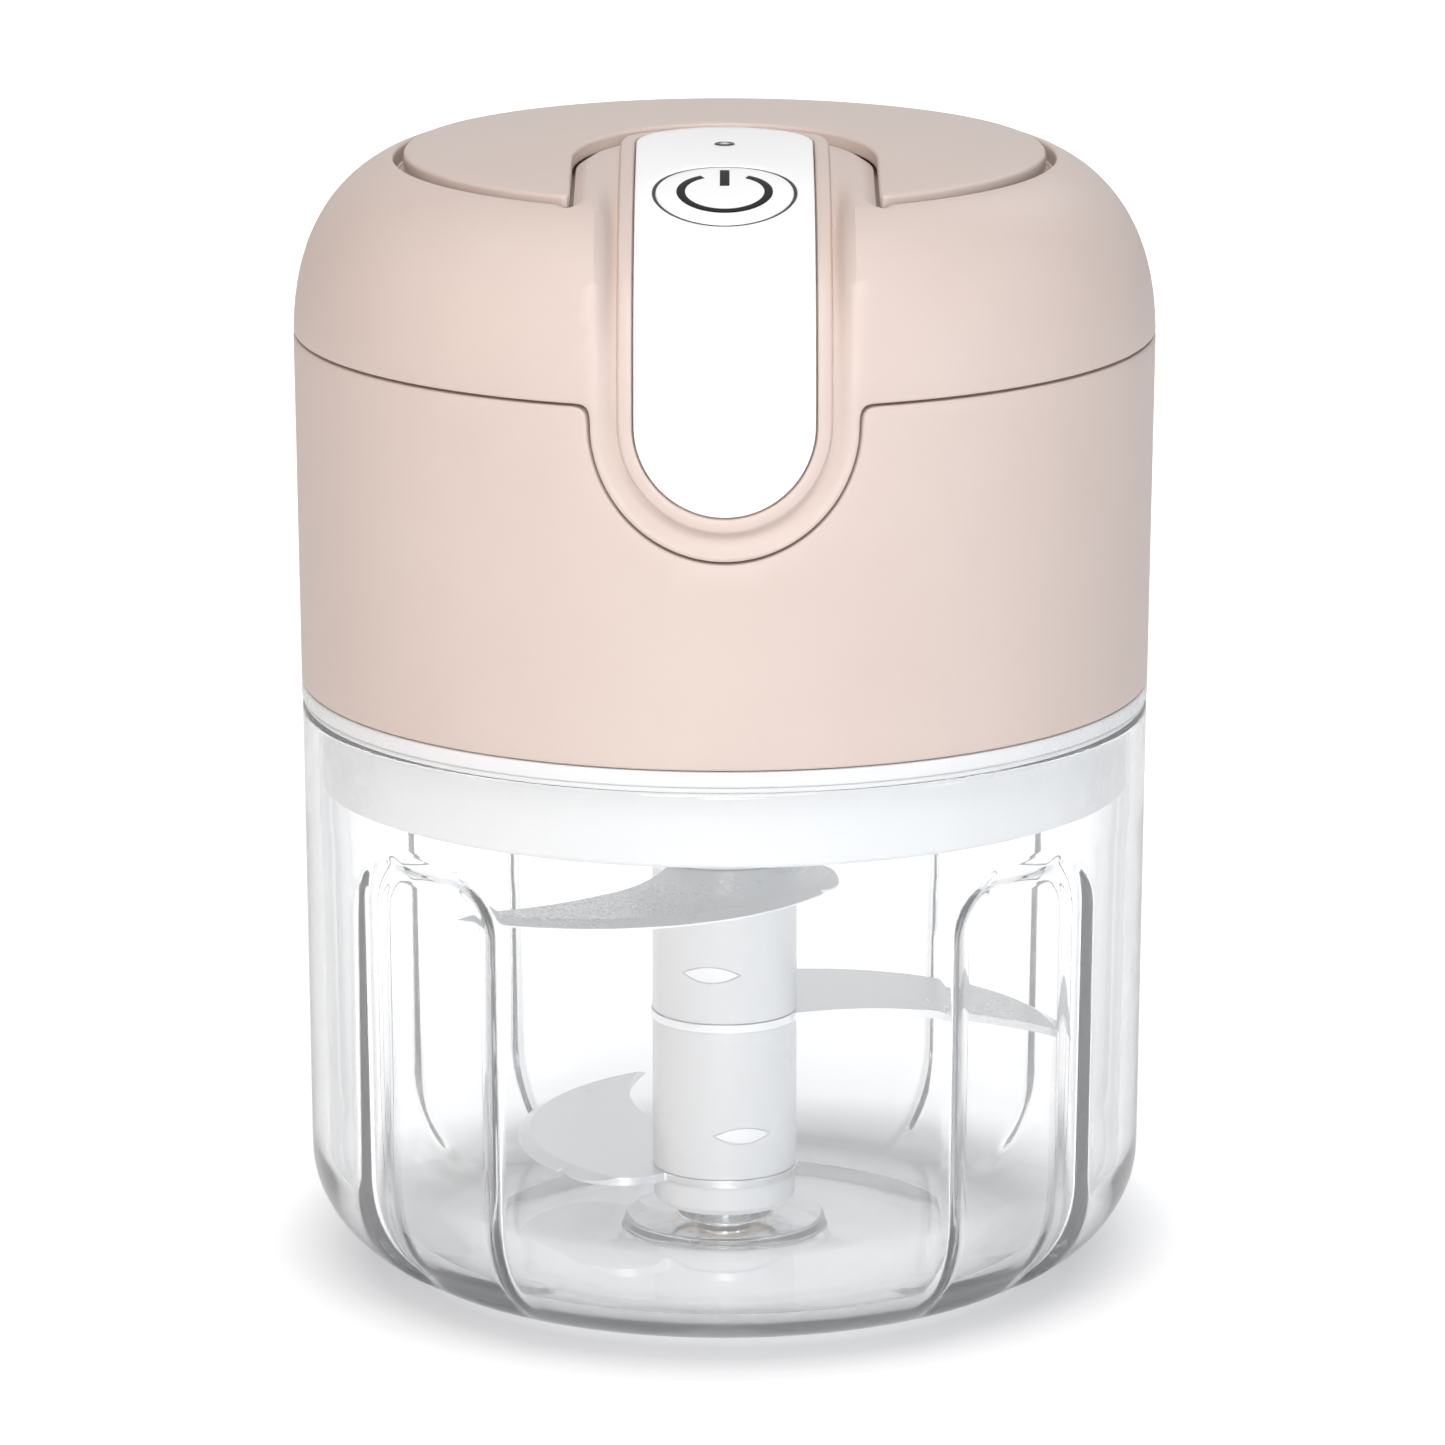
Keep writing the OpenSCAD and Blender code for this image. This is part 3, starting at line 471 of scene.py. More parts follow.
def shell(loops, place, thick, rings=(), grid=2.0, edge=0.25, cut=None, spare=0.45):
    """A closed solid, thick millimetres deep, laid over a surface.

    place(uv, depth) gives its points. loops are its outline, anticlockwise, and its holes, clockwise. rings
    are closed lines of points that the surface follows. grid spaces its points, edge rounds its rim, and
    spare keeps the points clear of the lines. cut marks the outline's points that lie on the line where a
    surface that goes right round is opened out."""
    normals = [left_normals(loop) for loop in loops]
    if cut is not None:
        marked, direction = cut
        normals[0] = np.where(marked[:, None], direction, normals[0])
    inset = [loop + n * edge for loop, n in zip(loops, normals)]
    fixed = inset + list(rings)
    low, high = inset[0].min(0), inset[0].max(0)
    rows = np.arange(low[1] + grid / 2, high[1], grid * 0.87)
    starts = [low[0] + grid * (0.25 + 0.5 * (k % 2)) for k in range(len(rows))]
    fill = np.vstack([stack(np.arange(first, high[0], grid), row) for first, row in zip(starts, rows)])
    fill = fill[between(fill, inset)]
    for line in fixed:
        fill = fill[distance_to(fill, line) > spare * grid]
    start, points, edges = [], [], []
    total = 0
    for line in fixed:
        start.append(total)
        edges += [(total + i, total + (i + 1) % len(line)) for i in range(len(line))]
        points.append(line)
        total += len(line)
    points = np.vstack(points + [fill])
    flat, _, triangles, origin, _, _ = delaunay_2d_cdt([Vector(p) for p in points], edges, [], 0, 1e-6)
    flat = np.array([tuple(p) for p in flat])
    where = {}
    for k, sources in enumerate(origin):
        for source in sources:
            where[source] = k
    middle = np.array([flat[list(t)].mean(0) for t in triangles])
    triangles = [t for t, good in zip(triangles, between(middle, inset)) if good]
    count = len(flat)
    solid = [place(flat, 0.0), place(flat, thick)]
    faces = [tuple(t) for t in triangles] + [tuple(count + i for i in reversed(t)) for t in triangles]
    total = 2 * count
    for which, (loop, n) in enumerate(zip(loops, normals)):
        size = len(loop)
        lines = [[where[start[which] + i] for i in range(size)]]
        for angle in (30, 60, 90):
            a = math.radians(angle)
            solid.append(place(loop + n * edge * (1 - math.sin(a)), edge * (1 - math.cos(a))))
            lines.append(list(range(total, total + size)))
            total += size
        solid.append(place(loop, thick))
        lines.append(list(range(total, total + size)))
        total += size
        lines.append([count + i for i in lines[0]])
        for upper, lower in zip(lines, lines[1:]):
            for i in range(size):
                j = (i + 1) % size
                along_cut = cut is not None and which == 0 and marked[i] and marked[j]
                if along_cut and abs(loop[i][0] - loop[j][0]) < 1e-6:
                    continue
                faces.append((upper[j], upper[i], lower[i], lower[j]))
    used = sorted({i for f in faces for i in f})
    renumber = {old: new for new, old in enumerate(used)}
    return np.vstack(solid)[used], [tuple(renumber[i] for i in f) for f in faces]


def turned(profile, angles, shift=None, ring=False):
    """A solid of revolution.

    angles are bearings from the front in degrees, shift(bearing, r, z) moves the surface inwards, and ring
    says that the profile closes on itself instead of on the axis."""
    profile = np.array(profile)
    r = np.repeat(profile[:, 0][:, None], len(angles), 1)
    z = np.repeat(profile[:, 1][:, None], len(angles), 1)
    bearing = np.radians(np.array(angles))[None].repeat(len(profile), 0)
    if shift is not None:
        r = r - shift(bearing, r, z)
    points = np.stack((r * np.sin(bearing), -r * np.cos(bearing), z), 2).reshape(-1, 3)
    rows, columns = r.shape
    faces = []
    for k in range(rows if ring else rows - 1):
        after = (k + 1) % rows
        for j in range(columns):
            nxt = (j + 1) % columns
            quad = (k * columns + j, k * columns + nxt, after * columns + nxt, after * columns + j)
            if profile[k][0] < 1e-6:
                quad = (k * columns, after * columns + nxt, after * columns + j)
            elif profile[after][0] < 1e-6:
                quad = (k * columns + j, k * columns + nxt, after * columns)
            faces.append(quad)
    return points, faces


def joined(*solids):
    """Several solids as the points and faces of one mesh."""
    points, faces, total = [], [], 0
    for p, f in solids:
        points.append(np.asarray(p))
        faces += [tuple(i + total for i in face) for face in f]
        total += len(p)
    return np.vstack(points), faces


EVEN = np.linspace(0, 360, 193)[:-1]

# ---- the head's dome

BODY_R, FOOT_R = 41.0, 40.6
SEAM_Z, SEAM_GAP = 91.85, 0.25
SHOULDER_Z, SHOULDER_H, SHOULDER_N, SHOULDER_RC = 90.66, 19.2, 2.42, 23.4
LIP_R, LIP_RISE = 31.4, 1.75
STRAP_R, STRAP_H, STRAP_Z, STRAP_N = 40.6, 20.8, 90.2, 2.6
PANEL_W, BORDER_W, TROUGH_W, TONGUE_W = 8.3, 9.82, 11.6, 12.3
PANEL_D, TROUGH_D = 1.2, 0.8
BORDER_WALL = (9.45, 9.6, 9.7, 9.76, BORDER_W)  # half widths across the border's rounded outer wall
PANEL_TOP_Y, PANEL_LOW_Z = 7.6, 90.1
NOTCH_W, NOTCH_Y = 14.2, 13.1
PLATE_R, PLATE_Z, PLATE_RISE = 30.4, 109.0, 2.3
BUTTON_R, BUTTON_Y, BUTTON_TILT = 6.4, 23.4, 14.1
MARK_OUT_R, MARK_IN_R, BAR_W, BAR_LOW, BAR_TOP = 4.45, 3.65, 0.45, 1.2, 5.4
LED_Y, LED_R, LED_SHADE_R = 8.3, 0.5, 0.93
PORT_Z, PORT_W, PORT_LOW, PORT_TOP = 68.0, 6.8, 63.9, 74.4
WRAP_FROM, WRAP_OVER = 14, 22  # where the strap starts to bend round the wall, and over what depth


def dome_profile():
    """The dome's outside from its crest to below the tongue, as radius, height and length along it."""
    first = math.acos(((LIP_R - SHOULDER_RC) / (BODY_R - SHOULDER_RC)) ** (SHOULDER_N / 2))
    t = np.linspace(first, 0, 160)
    shoulder_r = SHOULDER_RC + (BODY_R - SHOULDER_RC) * np.cos(t) ** (2 / SHOULDER_N)
    shoulder_z = SHOULDER_Z + SHOULDER_H * np.sin(t) ** (2 / SHOULDER_N)
    crown_r = np.linspace(0, LIP_R, 80)[:-1]
    crown_z = shoulder_z[0] + LIP_RISE * (1 - (crown_r / LIP_R) ** 2)
    wall_z = np.linspace(SHOULDER_Z, 74, 40)[1:]
    r = np.concatenate((crown_r, shoulder_r, np.full(len(wall_z), BODY_R)))
    z = np.concatenate((crown_z, shoulder_z, wall_z))
    along = travelled(stack(r, z))
    s = np.linspace(0, along[-1], 900)
    r, z = np.interp(s, along, r), np.interp(s, along, z)
    lip_at = along[len(crown_r)]
    near_lip = np.clip(1.6 - np.abs(s - lip_at) / 2.5, 0, 1)[1:-1]
    for _ in range(260):
        relax(r, near_lip)
        relax(z, near_lip)
    return r, z, travelled(stack(r, z))


DOME_PR, DOME_PZ, DOME_PS = dome_profile()
DOME_SLOPE_R = np.gradient(DOME_PR, DOME_PS)
DOME_SLOPE_Z = np.gradient(DOME_PZ, DOME_PS)


def dome_at(s, bearing):
    """Point, outward normal, and that normal's direction in the plane of constant x."""
    r, z = np.interp(s, DOME_PS, DOME_PR), np.interp(s, DOME_PS, DOME_PZ)
    nr, nz = -np.interp(s, DOME_PS, DOME_SLOPE_Z), np.interp(s, DOME_PS, DOME_SLOPE_R)
    point = stack(r * np.sin(bearing), -r * np.cos(bearing), z)
    normal = stack(nr * np.sin(bearing), -nr * np.cos(bearing), nz)
    upright = normal * (0, 1, 1)
    return point, normal, upright / np.maximum(lengths(upright), 1e-6)[:, None]


def dome_uv(uv):
    """The same for points of the opened-out dome: s from the crest, in the direction of the bearing."""
    return dome_at(np.hypot(uv[:, 0], uv[:, 1]), np.arctan2(uv[:, 0], -uv[:, 1]))


def s_at_r(r):
    top = DOME_PZ > SHOULDER_Z + 0.5
    return np.interp(r, DOME_PR[top], DOME_PS[top])


def s_at_z(z):
    return np.interp(-np.asarray(z), -DOME_PZ[1:], DOME_PS[1:])


def to_uv(s, bearing):
    return stack(s * np.sin(bearing), -s * np.cos(bearing))


def plan_to_uv(xy):
    r = np.hypot(xy[:, 0], xy[:, 1])
    return xy * (s_at_r(r) / np.maximum(r, 1e-6))[:, None]


def strap_offset(p):
    """Distance from the strap's centre line, with a round end at each end."""
    w = np.abs(p[:, 0])
    w = np.where(p[:, 1] > -PANEL_TOP_Y, np.hypot(p[:, 0], p[:, 1] + PANEL_TOP_Y), w)
    return np.where((p[:, 2] < PANEL_LOW_Z) & (p[:, 1] < 0), np.hypot(p[:, 0], p[:, 2] - PANEL_LOW_Z), w)


def strap_value(q, depth):
    """Negative inside the strap's surface sunk by depth."""
    front = np.maximum(-q[:, 1], 0)
    wrap = smoothstep((front - WRAP_FROM) / WRAP_OVER)
    across = np.sqrt(front ** 2 + wrap * q[:, 0] ** 2) / (STRAP_R - depth)
    up = np.maximum(q[:, 2] - STRAP_Z, 0) / (STRAP_H - depth)
    return across ** STRAP_N + up ** STRAP_N - 1


def strap_reach(p, way, depth):
    """How far from p along way the strap's surface lies."""
    low, high = np.full(len(p), -12.0), np.full(len(p), 5.0)
    for _ in range(34):
        middle = (low + high) / 2
        within = strap_value(p + way * middle[:, None], depth) < 0
        low, high = np.where(within, middle, low), np.where(within, high, middle)
    return (low + high) / 2


def strap_ring(w):
    """The closed line at half width w round the strap, on the opened-out dome."""
    top = plan_to_uv(arc(0, -PANEL_TOP_Y, w, 0, 180, 34))
    s = np.linspace(s_at_r(math.hypot(w, PANEL_TOP_Y)), s_at_z(PANEL_LOW_Z), 72)[1:-1]
    bearing = np.arcsin(np.clip(w / np.interp(s, DOME_PS, DOME_PR), -1, 1))
    left = to_uv(s, -bearing)
    t = np.radians(np.linspace(180, 360, 44))
    low = to_uv(s_at_z(PANEL_LOW_Z + w * np.sin(t)), np.arcsin(w * np.cos(t) / BODY_R))
    right = to_uv(s[::-1], bearing[::-1])
    return np.vstack((top, left, low, right))


def notched_disc(r, w, reach):
    """A disc with a round-ended notch of half width w in its front edge."""
    corner_y = -math.sqrt(r * r - w * w)
    start = math.degrees(math.atan2(corner_y, w))
    rim = arc(0, 0, r, start, 180 - start, 300)
    side = stack(-w, np.linspace(corner_y, -NOTCH_Y, 22)[1:-1])
    back = arc(0, -NOTCH_Y, w, 180, 0, 90)
    other = stack(w, np.linspace(-NOTCH_Y, corner_y, 22)[1:-1])
    return soften(np.vstack((rim, side, back, other)), [(-w, corner_y), (w, corner_y)], reach, 0.45)


RECESS = notched_disc(PLATE_R + 0.95, NOTCH_W - 0.35, 0.9)


def recess_depth(p):
    """How deep the plate's recess is cut at each point, with a soft lip and a bevel along the notch."""
    xy = p[:, :2]
    away = np.full(len(xy), 9.0)
    near = np.hypot(xy[:, 0], xy[:, 1]) < PLATE_R + 4
    near &= p[:, 2] > 100
    away[near] = distance_to(xy[near], RECESS)
    away[near] = np.where(inside(xy[near], RECESS), -away[near], away[near])
    notch = np.where(xy[:, 1] > -NOTCH_Y, np.hypot(xy[:, 0], xy[:, 1] + NOTCH_Y), np.abs(xy[:, 0]))
    notch -= NOTCH_W
    along_notch = smoothstep(1.6 - np.abs(notch + 0.4))
    plain = np.interp(away, [-0.10, -0.05, 0.0, 0.12, 0.3, 0.5], [1.9, 1.0, 0.4, 0.14, 0.03, 0])
    bevel = np.interp(away, [-0.10, -0.05, 0.0, 0.95, 1.15, 1.4], [1.9, 1.1, 0.62, 0.06, 0.01, 0])
    return plain + (bevel - plain) * along_notch


def dome_surface(uv, depth):
    """The dome with its raised border, the panel's pocket, the trough and the plate's recess."""
    p, normal, upright = dome_uv(uv)
    w = strap_offset(p)
    lift = np.zeros(len(p))
    near = (w < TROUGH_W + 0.4) & (p[:, 1] < 6)
    if near.any():
        q, way, ww = p[near], upright[near], w[near]
        face = strap_reach(q, way, 0.0)
        floor = np.minimum(strap_reach(q, way, TROUGH_D), -0.02)
        pocket = np.interp(ww - PANEL_W, [0.04, 0.12, 0.2, 0.36], [1, 0.3, 0.07, 0])
        wall = np.interp(ww, BORDER_WALL, [0, 0.04, 0.16, 0.5, 1])
        border = face - PANEL_D * pocket + (floor - face) * wall
        chamfer = floor * (1 - smoothstep((ww - BORDER_W) / (TROUGH_W + 0.3 - BORDER_W)))
        lift[near] = np.where(ww <= BORDER_W, border, chamfer)
    p = p + upright * lift[:, None]
    p[:, 2] -= recess_depth(dome_uv(uv)[0])
    return p - normal * depth


def uv_under(p):
    """The opened-out place of points that lie on the strap's surface."""
    low = s_at_r(np.abs(p[:, 0]) + 0.05)
    high = np.full(len(p), DOME_PS[-1])
    for _ in range(40):
        s = (low + high) / 2
        bearing = np.arcsin(np.clip(p[:, 0] / np.interp(s, DOME_PS, DOME_PR), -1, 1))
        at, _, way = dome_at(s, bearing)
        ahead = (p[:, 1] - at[:, 1]) * -way[:, 2] + (p[:, 2] - at[:, 2]) * way[:, 1]
        low, high = np.where(ahead > 0, s, low), np.where(ahead > 0, high, s)
    return to_uv(s, bearing)


def strap_height(y):
    return STRAP_Z + STRAP_H * (1 - (y / STRAP_R) ** STRAP_N) ** (1 / STRAP_N)


TILT = math.radians(BUTTON_TILT)
BUTTON_AT = np.array((0.0, -BUTTON_Y, strap_height(BUTTON_Y)))
BUTTON_UP = np.array((0.0, math.cos(TILT), math.sin(TILT)))
BUTTON_OUT = np.array((0.0, -math.sin(TILT), math.cos(TILT)))


def button_surface(ab, depth):
    """The strap's surface above points of the button's tilted plane."""
    p = BUTTON_AT + ab[:, :1] * np.array((1.0, 0, 0)) + ab[:, 1:2] * BUTTON_UP
    way = np.tile(BUTTON_OUT, (len(p), 1))
    return p + way * (strap_reach(p, way, 0.0) - depth)[:, None]


def seam_line(w, z):
    """The seam between dome and housing, from the left of the tongue under it to its right, as x and z."""
    left = stack(-w, np.linspace(z, PANEL_LOW_Z, 13)[:-1])
    under = arc(0, PANEL_LOW_Z, w, 180, 360, 90)
    right = stack(w, np.linspace(PANEL_LOW_Z, z, 13)[1:])
    return np.vstack((left, under, right))


def make_dome():
    low_z = SEAM_Z + SEAM_GAP / 2
    tongue = seam_line(TONGUE_W, low_z)
    front = to_uv(s_at_z(tongue[:, 1]), np.arcsin(tongue[:, 0] / BODY_R))
    turn = math.degrees(math.asin(TONGUE_W / BODY_R))
    around = np.radians(np.linspace(turn, 360 - turn, 420)[1:-1])
    back = to_uv(s_at_z(low_z), around)
    corners = [front[0], front[-1]]
    outline = soften(np.vstack((front, back)), corners, 1.0, 0.6)
    hole = circle(0, 0, BUTTON_R + 0.3, 72, clockwise=True)
    button_hole = uv_under(button_surface(hole, 0.0))
    rings = [strap_ring(w) for w in (8.34, 8.42, 8.5, 8.66, 9.05) + BORDER_WALL + (10.2, 10.7, 11.3, 11.9)]
    for e in (0.6, 0.10, 0.05, 0.0, -0.12, -0.3, -0.5, -0.95, -1.15, -1.4):
        rings.append(plan_to_uv(RECESS + left_normals(RECESS) * e))
    solid = shell([outline, button_hole], dome_surface, 1.6, rings, 1.5, 0.28)
    piece("dome_shell", *solid, "head", "pink_plastic", ["dome"], sharp=48)


def make_panel():
    hole = uv_under(button_surface(circle(0, 0, BUTTON_R + 0.28, 72, clockwise=True), 0.0))
    led = circle(0, -LED_Y, 0.95, 28, clockwise=True)

    def place(uv, depth):
        p, _, way = dome_uv(uv)
        return p + way * (strap_reach(p, way, 0.0) - depth)[:, None]

    solid = shell([strap_ring(PANEL_W - 0.03), hole, plan_to_uv(led)], place, 1.05, (), 1.0, 0.16)
    piece("panel_inlay", *solid, "head", "white_gloss", ["panel"])


def make_button():
    face = shell([circle(0, 0, BUTTON_R, 96)], button_surface, 3.5, (), 0.9, 0.22)
    piece("power_button_cap", *face, "button", "white_gloss", ["power_button"])

    def proud(ab, depth):
        return button_surface(ab, depth - 0.012)

    ring = np.vstack((arc(0, 0, MARK_OUT_R, 120, 420, 80), arc(0, 0, MARK_IN_R, 420, 120, 70)))
    bar = np.array([(-BAR_W, BAR_LOW), (BAR_W, BAR_LOW), (BAR_W, BAR_TOP), (-BAR_W, BAR_TOP)])
    marks = [shell([resample(loop, 0.2)], proud, 0.2, (), 0.35, 0.02) for loop in (ring, bar)]
    piece("power_mark_inlay", *joined(*marks), "button", "black_ink", ["power_mark"])


def make_plate():
    def place(xy, depth):
        r = np.hypot(xy[:, 0], xy[:, 1])
        return np.column_stack((xy, PLATE_Z + PLATE_RISE * (1 - (r / PLATE_R) ** 2) - depth))

    solid = shell([notched_disc(PLATE_R, NOTCH_W, 0.9)], place, 1.35, (), 1.6, 0.35)
    piece("top_plate_inlay", *solid, "head", "pink_plastic", ["top_plate"])


def make_housing():
    """The head's lower shell, opened out on the left, with the tongue's notch and the port's pocket."""
    low, high, notch = 58.2, SEAM_Z - SEAM_GAP / 2, TONGUE_W + SEAM_GAP
    wall, inner_r, pocket_y = 2.3, 38.3, 39.5
    left, right = math.radians(-90) * BODY_R, math.radians(270) * BODY_R
    corners = [(-PORT_W, PORT_LOW), (PORT_W, PORT_LOW), (PORT_W, PORT_TOP), (-PORT_W, PORT_TOP)]
    pocket = soften(resample(np.array(corners), 0.5), corners, 0.5, 0.3)
    middle = math.pi * BODY_R

    def place(az, depth):
        bearing = az[:, 0] / BODY_R
        z = az[:, 1]
        r = FOOT_R + (BODY_R - FOOT_R) * (z - low) / (high - low)
        flat = stack(BODY_R * np.sin(bearing - math.pi), z)
        sunk = np.zeros(len(az))
        near = (np.abs(flat[:, 0]) < 9) & (np.abs(az[:, 0] - middle) < 12) & (np.abs(z - 69) < 8)
        if near.any():
            away = distance_to(flat[near], pocket) * np.where(inside(flat[near], pocket), -1, 1)
            full = r[near] - pocket_y / np.cos(bearing[near] - math.pi)
            sunk[near] = full * np.interp(away, [-0.12, -0.05, 0, 0.12, 0.25], [1, 0.55, 0.2, 0.05, 0])
        share = depth / wall
        radius = (r - sunk) * (1 - share) + inner_r * share
        return stack(radius * np.sin(bearing), -radius * np.cos(bearing), z)

    base = stack(np.linspace(left, right, 201), low)
    up = stack(right, np.linspace(low, high, 22)[1:-1])
    seam = seam_line(notch, high)[::-1]
    seam = stack(BODY_R * np.arcsin(seam[:, 0] / BODY_R), seam[:, 1])
    edge_x = BODY_R * math.asin(notch / BODY_R)
    top_right = stack(np.linspace(right, edge_x, 160)[:-1], high)
    top_left = stack(np.linspace(-edge_x, left, 60)[1:], high)
    raw = np.vstack((top_right, seam, top_left))
    # the two corners of the notch are rounded, and the rest of the open line stays where it is
    along = travelled(raw)
    at = np.linspace(0, along[-1], int(along[-1] / 0.45))
    line = stack(*(np.interp(at, along, raw[:, k]) for k in (0, 1)))
    blend = np.min([lengths(line - (sx * edge_x, high)) for sx in (-1, 1)], axis=0)
    blend = np.clip(2.2 - blend / 0.8, 0, 1)[1:-1, None]
    for _ in range(8):
        relax(line, blend)
    down = up[::-1] * (0, 1) + (left, 0)
    outline = np.vstack((base, up, line, down))
    marked = (np.abs(outline[:, 0] - left) < 1e-6) | (np.abs(outline[:, 0] - right) < 1e-6)
    direction = np.zeros_like(outline)
    direction[np.abs(outline[:, 1] - low) < 1e-6] = (0, 1)
    direction[np.abs(outline[:, 1] - high) < 1e-6] = (0, -1)
    slot_w, slot_h = 5.0, 2.1
    slot_line = np.vstack((arc(middle - slot_w + slot_h, PORT_Z, slot_h, 270, 90, 14),
                           arc(middle + slot_w - slot_h, PORT_Z, slot_h, 90, -90, 14)))
    way = left_normals(pocket)
    rings = [pocket + way * e + (middle, 0) for e in (0.12, 0.05, 0, -0.12, -0.25)]
    solid = shell([outline, slot_line], place, wall, rings, 2.2, 0.25, (marked, direction))
    piece("housing_shell", *solid, "head", "pink_plastic", ["housing"], sharp=48)


make_dome()
make_panel()
make_button()
make_plate()
make_housing()

# ---- the bowl

RIM_Z, BASE_R, CORNER_Z, WALL_LOW_R, WALL_TOP_R = 56.0, 25.0, 12.0, 40.1, 40.55
MOUTH_R, IN_BASE_R, IN_LOW_R, IN_CORNER_Z, FLOOR_T = 38.95, 28.5, 38.45, 13.0, 3.0
BOSS_R, BOSS_Z, SEAT_Z, PIN_R = 9.7, 4.2, 5.3, 2.5
FLUTE_D, FLUTE_W, FLUTE_TOP, FLUTE_CORNER, FLUTE_ANGLE, FLUTE_EDGE = 1.4, 9.6, 46.6, 6.5, 45.5, 2.6
FLUTES = (FLUTE_ANGLE, 180 - FLUTE_ANGLE, 180 + FLUTE_ANGLE, 360 - FLUTE_ANGLE)


def flute(bearing, r, z):
    """How far the four arched flutes press the wall in, fading out where the corner turns under."""
    sunk = np.zeros_like(r)
    for centre in FLUTES:
        off = bearing - math.radians(centre)
        aside = np.abs(WALL_LOW_R * np.sin(off))
        front = np.cos(off) > 0
        qx, qz = aside - (FLUTE_W - FLUTE_CORNER), z - (FLUTE_TOP - FLUTE_CORNER)
        away = np.hypot(np.maximum(qx, 0), np.maximum(qz, 0)) + np.minimum(np.maximum(qx, qz), 0)
        away -= FLUTE_CORNER
        t = np.clip(-away / FLUTE_EDGE, 0, 1)
        sunk += np.where(front, FLUTE_D * smoothstep(t), 0)
    return sunk * smoothstep((z - 1.1) / 3.2) * smoothstep((r - 24) / 6)


def spaced(start, end, step):
    return list(np.linspace(start, end, max(2, int(round(abs(end - start) / step)) + 1)))


def make_bowl():
    outer = [(0, 0.25), (14, 0.25), (22.5, 0.22), (23.6, 0.05), (24.2, 0), (BASE_R, 0)]
    for t in np.radians(np.linspace(0, 90, 30))[1:]:
        outer.append((BASE_R + (WALL_LOW_R - BASE_R) * math.sin(t), CORNER_Z * (1 - math.cos(t))))
    draft = (WALL_TOP_R - WALL_LOW_R) / (RIM_Z - CORNER_Z)
    for z in spaced(13.5, 37.5, 1.5) + spaced(38, 47.6, 0.45) + spaced(49, 55.3, 1.6):
        outer.append((WALL_LOW_R + draft * (z - CORNER_Z), z))
    rim = contour([(WALL_TOP_R - 0.01, 55.3), (WALL_TOP_R, RIM_Z, 0.45), (MOUTH_R, RIM_Z, 0.45),
                   (MOUTH_R, 55.2)], 4)[1:]
    inner = []
    slope = (MOUTH_R - IN_LOW_R) / (46 - IN_CORNER_Z)
    for z in spaced(54, 48.4, 1.6) + spaced(47.6, 38, 0.45) + spaced(37.5, 14.5, 1.5):
        inner.append((min(MOUTH_R, IN_LOW_R + slope * (z - IN_CORNER_Z)), z))
    for t in np.radians(np.linspace(90, 0, 30)):
        inner.append((IN_BASE_R + (IN_LOW_R - IN_BASE_R) * math.sin(t),
                      IN_CORNER_Z - (IN_CORNER_Z - FLOOR_T) * math.cos(t)))
    floor = contour([(IN_BASE_R, FLOOR_T), (20, FLOOR_T), (BOSS_R + 0.15, FLOOR_T, 0.35),
                     (BOSS_R, BOSS_Z, 0.4), (4.6, BOSS_Z, 0.3), (4.4, SEAT_Z, 0.3),
                     (PIN_R + 0.02, SEAT_Z, 0.1), (PIN_R + 0.02, 1.2), (0, 1.2)], 4)
    angles = []
    bearing = 0.0
    while bearing < 360:
        angles.append(bearing)
        off = min(abs((bearing - centre + 180) % 360 - 180) for centre in FLUTES)
        bearing += 0.55 if off < 14.6 else 1.6  # finer steps across a flute
    solid = turned(outer + rim + inner + floor[1:], angles, flute)
    piece("bowl_clear", *solid, "bowl", "clear_plastic", ["bowl"], sharp=50, weld=1e-4)


# ---- the head's underside

POST_AT, POST_R = 21.9, 3.2
POSTS = [(sx * POST_AT, sy * POST_AT) for sx in (-1, 1) for sy in (-1, 1)]
SKIRT_R, SKIRT_Z, FLANGE_Z, FLANGE_TOP, WELL_R = 38.55, 48.6, 56.6, 58.1, 9.0


def make_lower_cover():
    """The head's white underside: skirt, flange, deck, drive well, screw plugs and seal."""
    wall = contour([
        (36.9, 49.0), (36.9, SKIRT_Z, 0.1), (SKIRT_R, SKIRT_Z, 0.5), (SKIRT_R, FLANGE_Z, 0.2),
        (FOOT_R, FLANGE_Z, 0.25), (FOOT_R, FLANGE_TOP, 0.3), (38.2, FLANGE_TOP, 0.1), (38.1, 60.3, 0.3),
        (36.4, 60.3, 0.3), (36.4, 52), (36.9, 50.8)], 5)

    def level(z):
        return lambda xy, depth: stack(xy[:, 0], xy[:, 1], z + depth)

    holes = [circle(0, 0, WELL_R, 72, clockwise=True)]
    holes += [circle(x, y, POST_R, 36, clockwise=True) for x, y in POSTS]
    deck = shell([circle(0, 0, 37.6, 160)] + holes, level(SKIRT_Z + 0.08), 2.1, (), 3.0, 0.3)
    well = contour([(WELL_R, 50.6), (11.0, 50.6), (11.0, 56.0), (3.95, 56.0), (3.95, 54.0, 0.2),
                    (WELL_R, 54.0, 0.3)], 4)
    solid = joined(turned(wall, EVEN, ring=True), deck, turned(well, EVEN, ring=True))
    piece("lower_cover_moulding", *solid, "head", "white_plastic", ["lower_cover"])
    caps = [shell([circle(x, y, POST_R - 0.12, 40)], level(SKIRT_Z + 0.22), 2.4, (), 1.2, 0.25)
            for x, y in POSTS]
    piece("screw_plug_caps", *joined(*caps), "head", "white_plastic", ["screw_plugs"])
    seal = contour([(38.62, 56.35), (38.62, 56.08, 0.1), (40.42, 56.08, 0.15), (40.42, 56.58, 0.15),
                    (38.62, 56.58, 0.1), (38.62, 56.4)], 4)
    piece("rim_seal", *turned(seal, EVEN, ring=True), "head", "white_silicone", ["seal_ring"])


# ---- hub and blades

